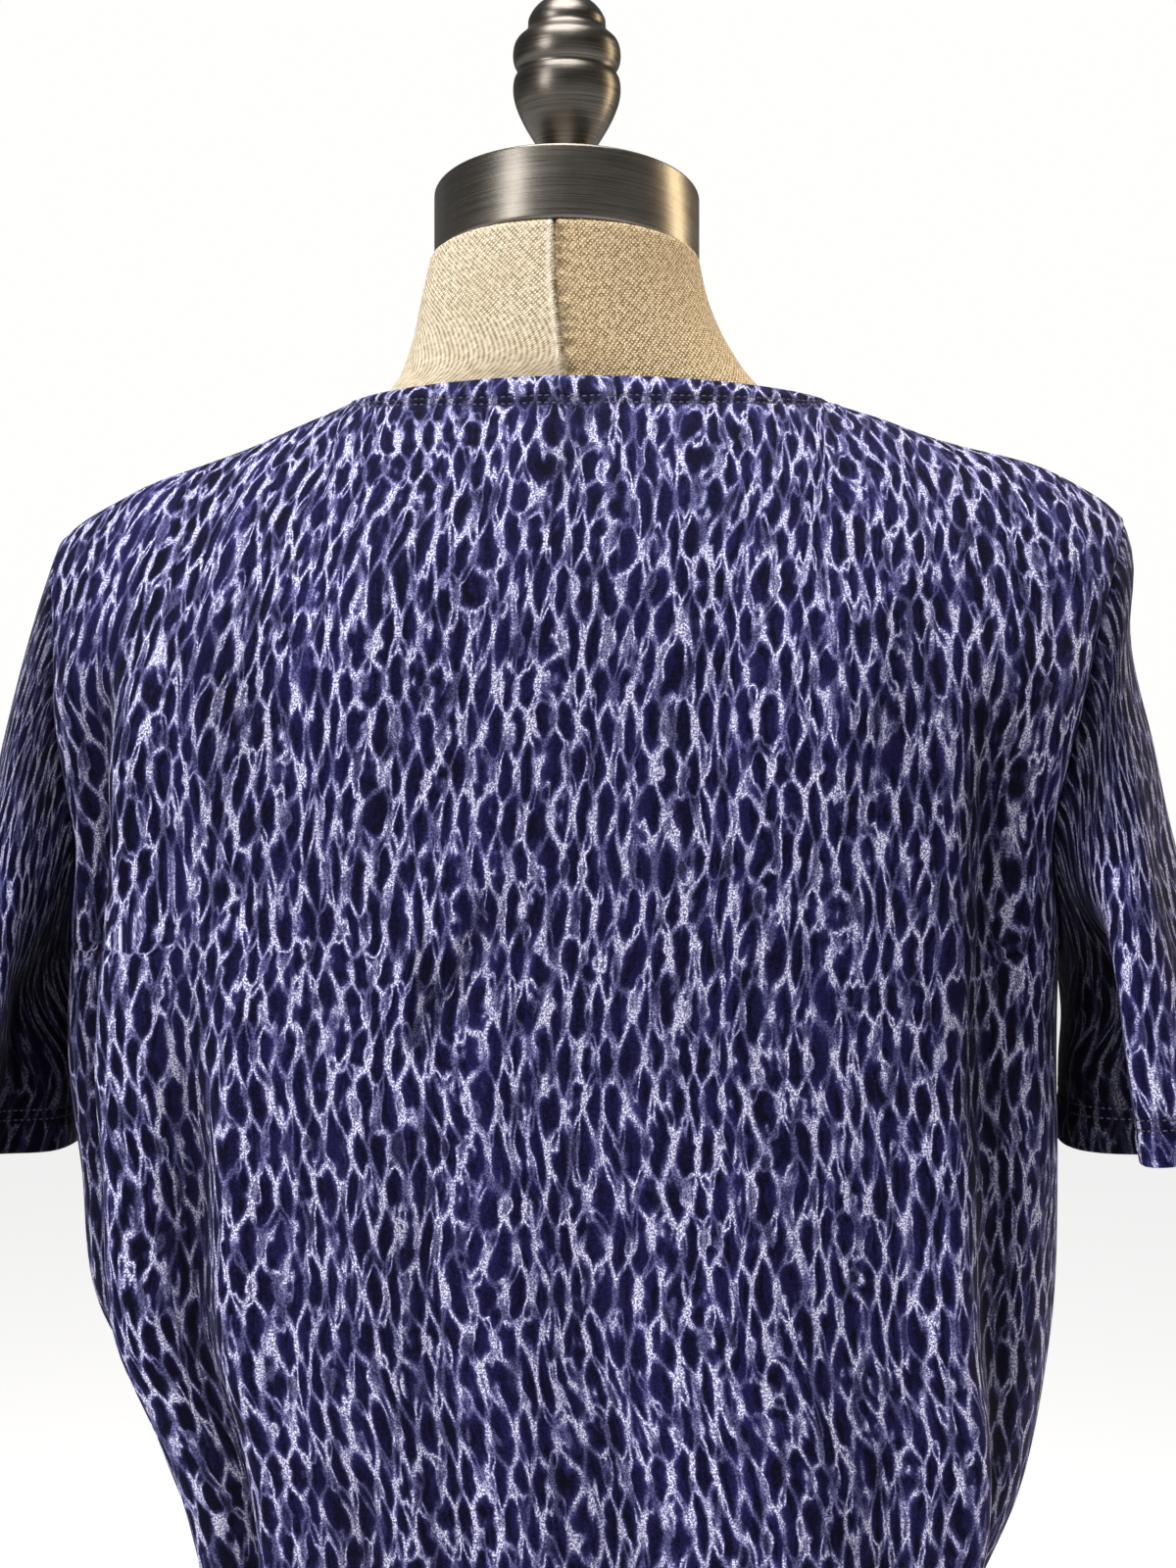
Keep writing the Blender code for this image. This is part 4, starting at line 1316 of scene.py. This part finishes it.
SEAM_SINK = 0.0026
SEAM_SINK_WIDTH = 0.0007
CAP_SHADOW = 0.0014
PUCKER = 0.0019
PUCKER_PITCH = 0.0065
PUCKER_FROM = 0.0007
PUCKER_PLACE = 0.0015
PUCKER_WIDTH = 0.0010
PUCKER_LEAST = 0.55
FLATTER_SIDE = 0.35


def neck_tilt(z, y):
    """The neck's top and the cap lean forward: higher at the back."""
    share = ease((z - NECK_TILT_FROM) / (FORM[-1].z - NECK_TILT_FROM))
    return tan(CAP_TILT) * (y - NECK_Y) * share


def form_points():
    """Rows of the torso, columns from the centre-back seam round to itself."""
    curves = columns(FORM, "z")
    low = np.linspace(FORM[0].z, TORSO_TOP, TORSO_ROWS)
    high = np.linspace(TORSO_TOP, FORM[-1].z, NECK_ROWS)[1:]
    z = np.concatenate([low, high])[:, None]
    close = np.array(SEAM_CLOSE)
    even = np.linspace(close[-1], 2 * pi - close[-1], FORM_SIDES)[1:-1]
    turn = np.concatenate([close, even, 2 * pi - close[::-1]])[None, :]
    angle = pi / 2 + turn
    power = 2 / curves["corner"](z)
    across = powered(np.cos(angle), power)
    deep = powered(np.sin(angle), power)
    y = deep * np.where(deep > 0, curves["back"](z), curves["front"](z))
    x = curves["lean"](z) + curves["half"](z) * across
    return np.stack([x, y, z + neck_tilt(z, y)], axis=-1), turn + np.zeros_like(x)


def puckered(points, turn):
    """Sink the seam and raise small puckers beside it."""
    gap = np.minimum(turn, 2 * pi - turn) * LINEN_PER_TURN
    z = points[..., 2]
    sink = -SEAM_SINK * np.exp(-(gap / SEAM_SINK_WIDTH) ** 2)
    sink = sink - CAP_SHADOW * (1 - ease((z[-1] - z) / CAP_SHADOW))
    uneven = np.sin(2 * pi * z / PUCKER_PITCH + 2.5 * np.sin(z * 190))
    side = np.where(turn < pi, 1.0, FLATTER_SIDE)
    beside = np.exp(-((gap - PUCKER_PLACE) / PUCKER_WIDTH) ** 2) * ease(gap / PUCKER_FROM)
    lift = PUCKER * (PUCKER_LEAST + (1 - PUCKER_LEAST) * uneven) * side * beside
    outwards = sleeve_normals(points, LEFT)
    inverted = np.sum(outwards * points * [1, 1, 0], axis=-1, keepdims=True) < 0
    outwards = np.where(inverted, -outwards, outwards)
    return points + (sink + lift)[..., None] * outwards


WEAVE_PITCH = 1.45
LEAN_ENDS = 1.436
LEAN_SLOPE = 0.12
BIAS = radians(38)
RIPPLE_ASIDE = 0.0005
LINEN_GAP = (0.24, 0.175, 0.10, 1.0)
LINEN = (0.78, 0.68, 0.51, 1.0)
SLUB = (0.88, 0.79, 0.62, 1.0)
STAIN = (0.42, 0.32, 0.19, 1.0)
# Painted shade and painted highlight beside the back seam, and a darker, warmer painted shade
# right of the seam.
SEAM_PAINTED_SHADE = (0.13, 0.085, 0.045, 1.0)
SEAM_PAINTED_HIGHLIGHT = (0.90, 0.82, 0.68, 1.0)
RIGHT_PAINTED_SHADE = (0.80, 0.71, 0.57)


def linen_material():
    made, start = new_material("linen")
    flat = start.node("ShaderNodeUVMap", {"uv_map": "grain"}).scaled(1000.0)
    turned = start.node("ShaderNodeVectorRotate", {"rotation_type": "Z_AXIS"},
                        {"Vector": flat, "Angle": BIAS})
    slack = turned.noise(0.9, 1.0, 1, "2D").vector("SUBTRACT", MIDDLE).scaled(0.35)
    x, y = turned.vector("ADD", slack).parts()[:2]
    warp = start.math("SINE", x * (2 * pi / WEAVE_PITCH)) * 0.5 + 0.5
    weft = start.math("SINE", y * (2 * pi / WEAVE_PITCH)) * 0.5 + 0.5
    weave = warp * weft
    slub = turned.noise(0.45, 3.0, 0, "2D")
    stain = flat.noise(0.020, 3.0, 0, "2D")
    threads = weave.step(0.05, 0.60).blend(LINEN_GAP, LINEN)
    tone = slub.step(0.35, 0.70, 0.0, 0.5).blend(threads, SLUB)
    colour = (stain.step(0.40, 0.75) * 0.30).blend(tone, STAIN)
    across, deep, high = start.node("ShaderNodeTexCoord", output=3).parts()
    aside = across + (LEAN_ENDS - high).most(0.0) * LEAN_SLOPE
    ripple = high.math("SINE", high * (2 * pi / PUCKER_PITCH) + slub * 9.0)
    aside = aside + ripple * RIPPLE_ASIDE
    # Painted warm shade: the back of the neck right of the seam is painted darker and warmer,
    # as the warm side light falls there.
    painted_shade_right = aside.step(0.0004, -0.0008) * deep.step(-0.045, 0.0)
    colour = painted_shade_right.blend(colour, colour.vector("MULTIPLY", RIGHT_PAINTED_SHADE))
    behind = deep.step(0.0, 0.02) * (ripple * 0.25 + 0.75)
    # Painted shade on the right of the seam and painted highlight on its left, as the puckers
    # would be lit from the left.
    seam_painted_shade = painted_shade_right * aside.step(-0.0042, -0.0010) * behind
    colour = (seam_painted_shade * 0.80).blend(colour, SEAM_PAINTED_SHADE)
    seam_painted_highlight = aside.step(0.0046, 0.0012) * aside.step(0.0, 0.0010) * behind
    colour = (seam_painted_highlight * 0.80).blend(colour, SEAM_PAINTED_HIGHLIGHT)
    finish_material(start, {
        "Base Color": colour,
        "Roughness": slub * 0.15 + 0.75,
        "Normal": bump(weave + slub * 0.5, 0.8, 0.0005),
        "Sheen Weight": 0.1,
        "Specular IOR Level": 0.3,
    })
    return made


plain, turn = form_points()
run = along_rows(plain)
rise = run_along(plain[:, 0])[:, None] + np.zeros_like(run)
bm, layers = stretched_grid(puckered(plain, turn), np.stack([run, rise], axis=-1))
bmesh.ops.remove_doubles(bm, verts=bm.verts, dist=MERGE)
bmesh.ops.holes_fill(bm, edges=[edge for edge in bm.edges if edge.is_boundary])
bmesh.ops.recalc_face_normals(bm, faces=bm.faces)
form_cover = new_object(bm, "form_cover", FORM_SHARP)
declare(form_cover, [linen_material()], "form_body")
print("form cover:", len(form_cover.data.polygons), "faces")

# %% [markdown]
# The cap, the knob and the stand are turned metal with a brushed finish. Turning is a spin:
# a profile goes once round the axis. Brushing leaves fine rings, so the roughness and the
# bump are noise that is squeezed along the axis and stretched around it.

# %% Turned metal
SPIN_STEPS = 96
METAL_SHARP = radians(35)
LEAN_FADE = 0.004
CAP_EDGE = 0.0016
PLATE_EDGE = 0.0015
POLE_EDGE = 0.0008
BRUSH = (30.0, 30.0, 3800.0)
GUNMETAL = (0.085, 0.077, 0.068, 1.0)
SILVER = (0.25, 0.23, 0.205, 1.0)
KNOB_DARK = (0.030, 0.026, 0.022, 1.0)
KNOB_LIGHT = (0.165, 0.150, 0.132, 1.0)
CAP_HEIGHT = 0.031
FINIAL_TOP = 1.576
PLATE_RADIUS = 0.070
PLATE_HEIGHT = 0.010
POLE_RADIUS = 0.0125
PROFILE = [(0.090, 0.0140), (0.086, 0.0132), (0.078, 0.0088), (0.070, 0.0112),
           (0.065, 0.0143), (0.057, 0.0190), (0.052, 0.0213), (0.0475, 0.0228),
           (0.0425, 0.0234), (0.0380, 0.0228), (0.0350, 0.0215), (0.0320, 0.0228),
           (0.0270, 0.0234), (0.0210, 0.0215), (0.0170, 0.0174), (0.0120, 0.0166),
           (0.0060, 0.0125), (0.0018, 0.0068)]
FOOT = [(0.0, 0.170), (0.008, 0.170), (0.018, 0.158), (0.021, 0.0325), (0.026, 0.026),
        (0.040, 0.0235)]


def nickel_material(name, centre_y, tilt, deep, bright):
    made, start = new_material(name)
    place = start.node("ShaderNodeTexCoord", output=3)
    upright = start.node("ShaderNodeMapping", {"vector_type": "POINT"},
                         {"Vector": place, "Location": (0, -centre_y, 0)})
    upright = start.node("ShaderNodeVectorRotate", {"rotation_type": "X_AXIS"},
                         {"Vector": upright, "Angle": -tilt})
    brushed = upright.vector("MULTIPLY", BRUSH).noise(1.0, 4.0)
    speckle = upright.noise(900.0, 2.0)
    cloudy = upright.noise(22.0, 3.0)
    tone = (brushed * 0.5 + cloudy * 0.5).step(0.25, 0.75)
    finish_material(start, {
        "Base Color": tone.blend(deep, bright),
        "Metallic": 1.0,
        "Roughness": brushed * 0.16 + speckle * 0.10 + 0.19,
        "Normal": bump(brushed + speckle * 0.3, 0.22, 0.0002),
    })
    return made


def turned(name, node, profile, material, centre_y=0.0, tilt=0.0, level=None):
    """Spin a profile of (height, radius) pairs round its axis, and lean it below a level."""
    bm = bmesh.new()
    path = [(profile[0][0], 0.0)] + list(profile) + [(profile[-1][0], 0.0)]
    verts = [bm.verts.new((radius, 0, z)) for z, radius in path]
    edges = [bm.edges.new(pair) for pair in zip(verts, verts[1:])]
    bmesh.ops.spin(bm, geom=verts + edges, cent=(0, 0, 0), axis=(0, 0, 1), angle=2 * pi,
                   steps=SPIN_STEPS, use_merge=True, use_duplicate=False)
    bmesh.ops.remove_doubles(bm, verts=bm.verts, dist=MERGE)
    for vertex in bm.verts:
        lean = 1.0 if level is None else float(ease((level - vertex.co.z) / LEAN_FADE))
        vertex.co.z += tan(tilt) * vertex.co.y * lean
        vertex.co.y += centre_y
    bmesh.ops.recalc_face_normals(bm, faces=bm.faces)
    made = new_object(bm, name, METAL_SHARP)
    declare(made, [material], node)
    print(name, len(made.data.polygons), "faces")


def softened(profile, steps=5):
    """A smooth profile through the table's points."""
    z = [point[0] for point in profile]
    radius = [point[1] for point in profile]
    curve = smooth_curve(z, radius)
    fine = []
    for low, high in zip(z, z[1:]):
        fine += list(np.linspace(low, high, steps + 1)[:-1])
    fine.append(z[-1])
    return [(float(place), float(curve(place))) for place in fine]


def rounded(low, high, radius, edge):
    """A plain disc or band with its two rims rounded."""
    corner = [(edge * (1 - cos(a)), edge * (1 - sin(a))) for a in np.linspace(0, pi / 2, 6)]
    bottom = [(low + rise, radius - inset) for rise, inset in corner]
    top = [(high - rise, radius - inset) for rise, inset in corner[::-1]]
    return bottom + top


cap_metal = nickel_material("nickel_cap", NECK_Y, CAP_TILT, GUNMETAL, SILVER)
knob_metal = nickel_material("nickel_knob", NECK_Y, 0.0, KNOB_DARK, KNOB_LIGHT)
stand_metal = nickel_material("nickel_stand", 0.0, 0.0, GUNMETAL, SILVER)

cap_low = FORM[-1].z + SEAM_GAP
cap_high = cap_low + CAP_HEIGHT
turned("cap_band", "neck_cap", rounded(cap_low, cap_high, CAP_RADIUS, CAP_EDGE), cap_metal,
       NECK_Y, CAP_TILT)
knob = [(FINIAL_TOP - down, radius) for down, radius in PROFILE]
knob[0] = (cap_high + SEAM_GAP, knob[0][1])
turned("turned_knob", "finial", softened(knob), knob_metal, NECK_Y, CAP_TILT,
       level=knob[0][0] + LEAN_FADE)
plate_top = FORM[0].z - SEAM_GAP
plate_low = plate_top - PLATE_HEIGHT
turned("torso_plate", "form_plate", rounded(plate_low, plate_top, PLATE_RADIUS, PLATE_EDGE),
       stand_metal)
pole = rounded(FOOT[-1][0] + SEAM_GAP, plate_low - SEAM_GAP, POLE_RADIUS, POLE_EDGE)
turned("stand_pole", "pole", pole, stand_metal)
turned("stand_foot", "base", FOOT, stand_metal)

# %% [markdown]
# Last, the size of the rectangle that each piece of cloth was cut from and the area of the
# cut itself are worked out and printed.

flat_sizes = {}
for name, (grain, points) in flats.items():
    width = round(float(np.ptp(grain[..., 0])), 3)
    length = round(float(grain[..., 1].max()), 3)
    area = round(flat_area(points), 4)
    flat_sizes[name] = (width, length, area)
print("flat sizes:", flat_sizes)
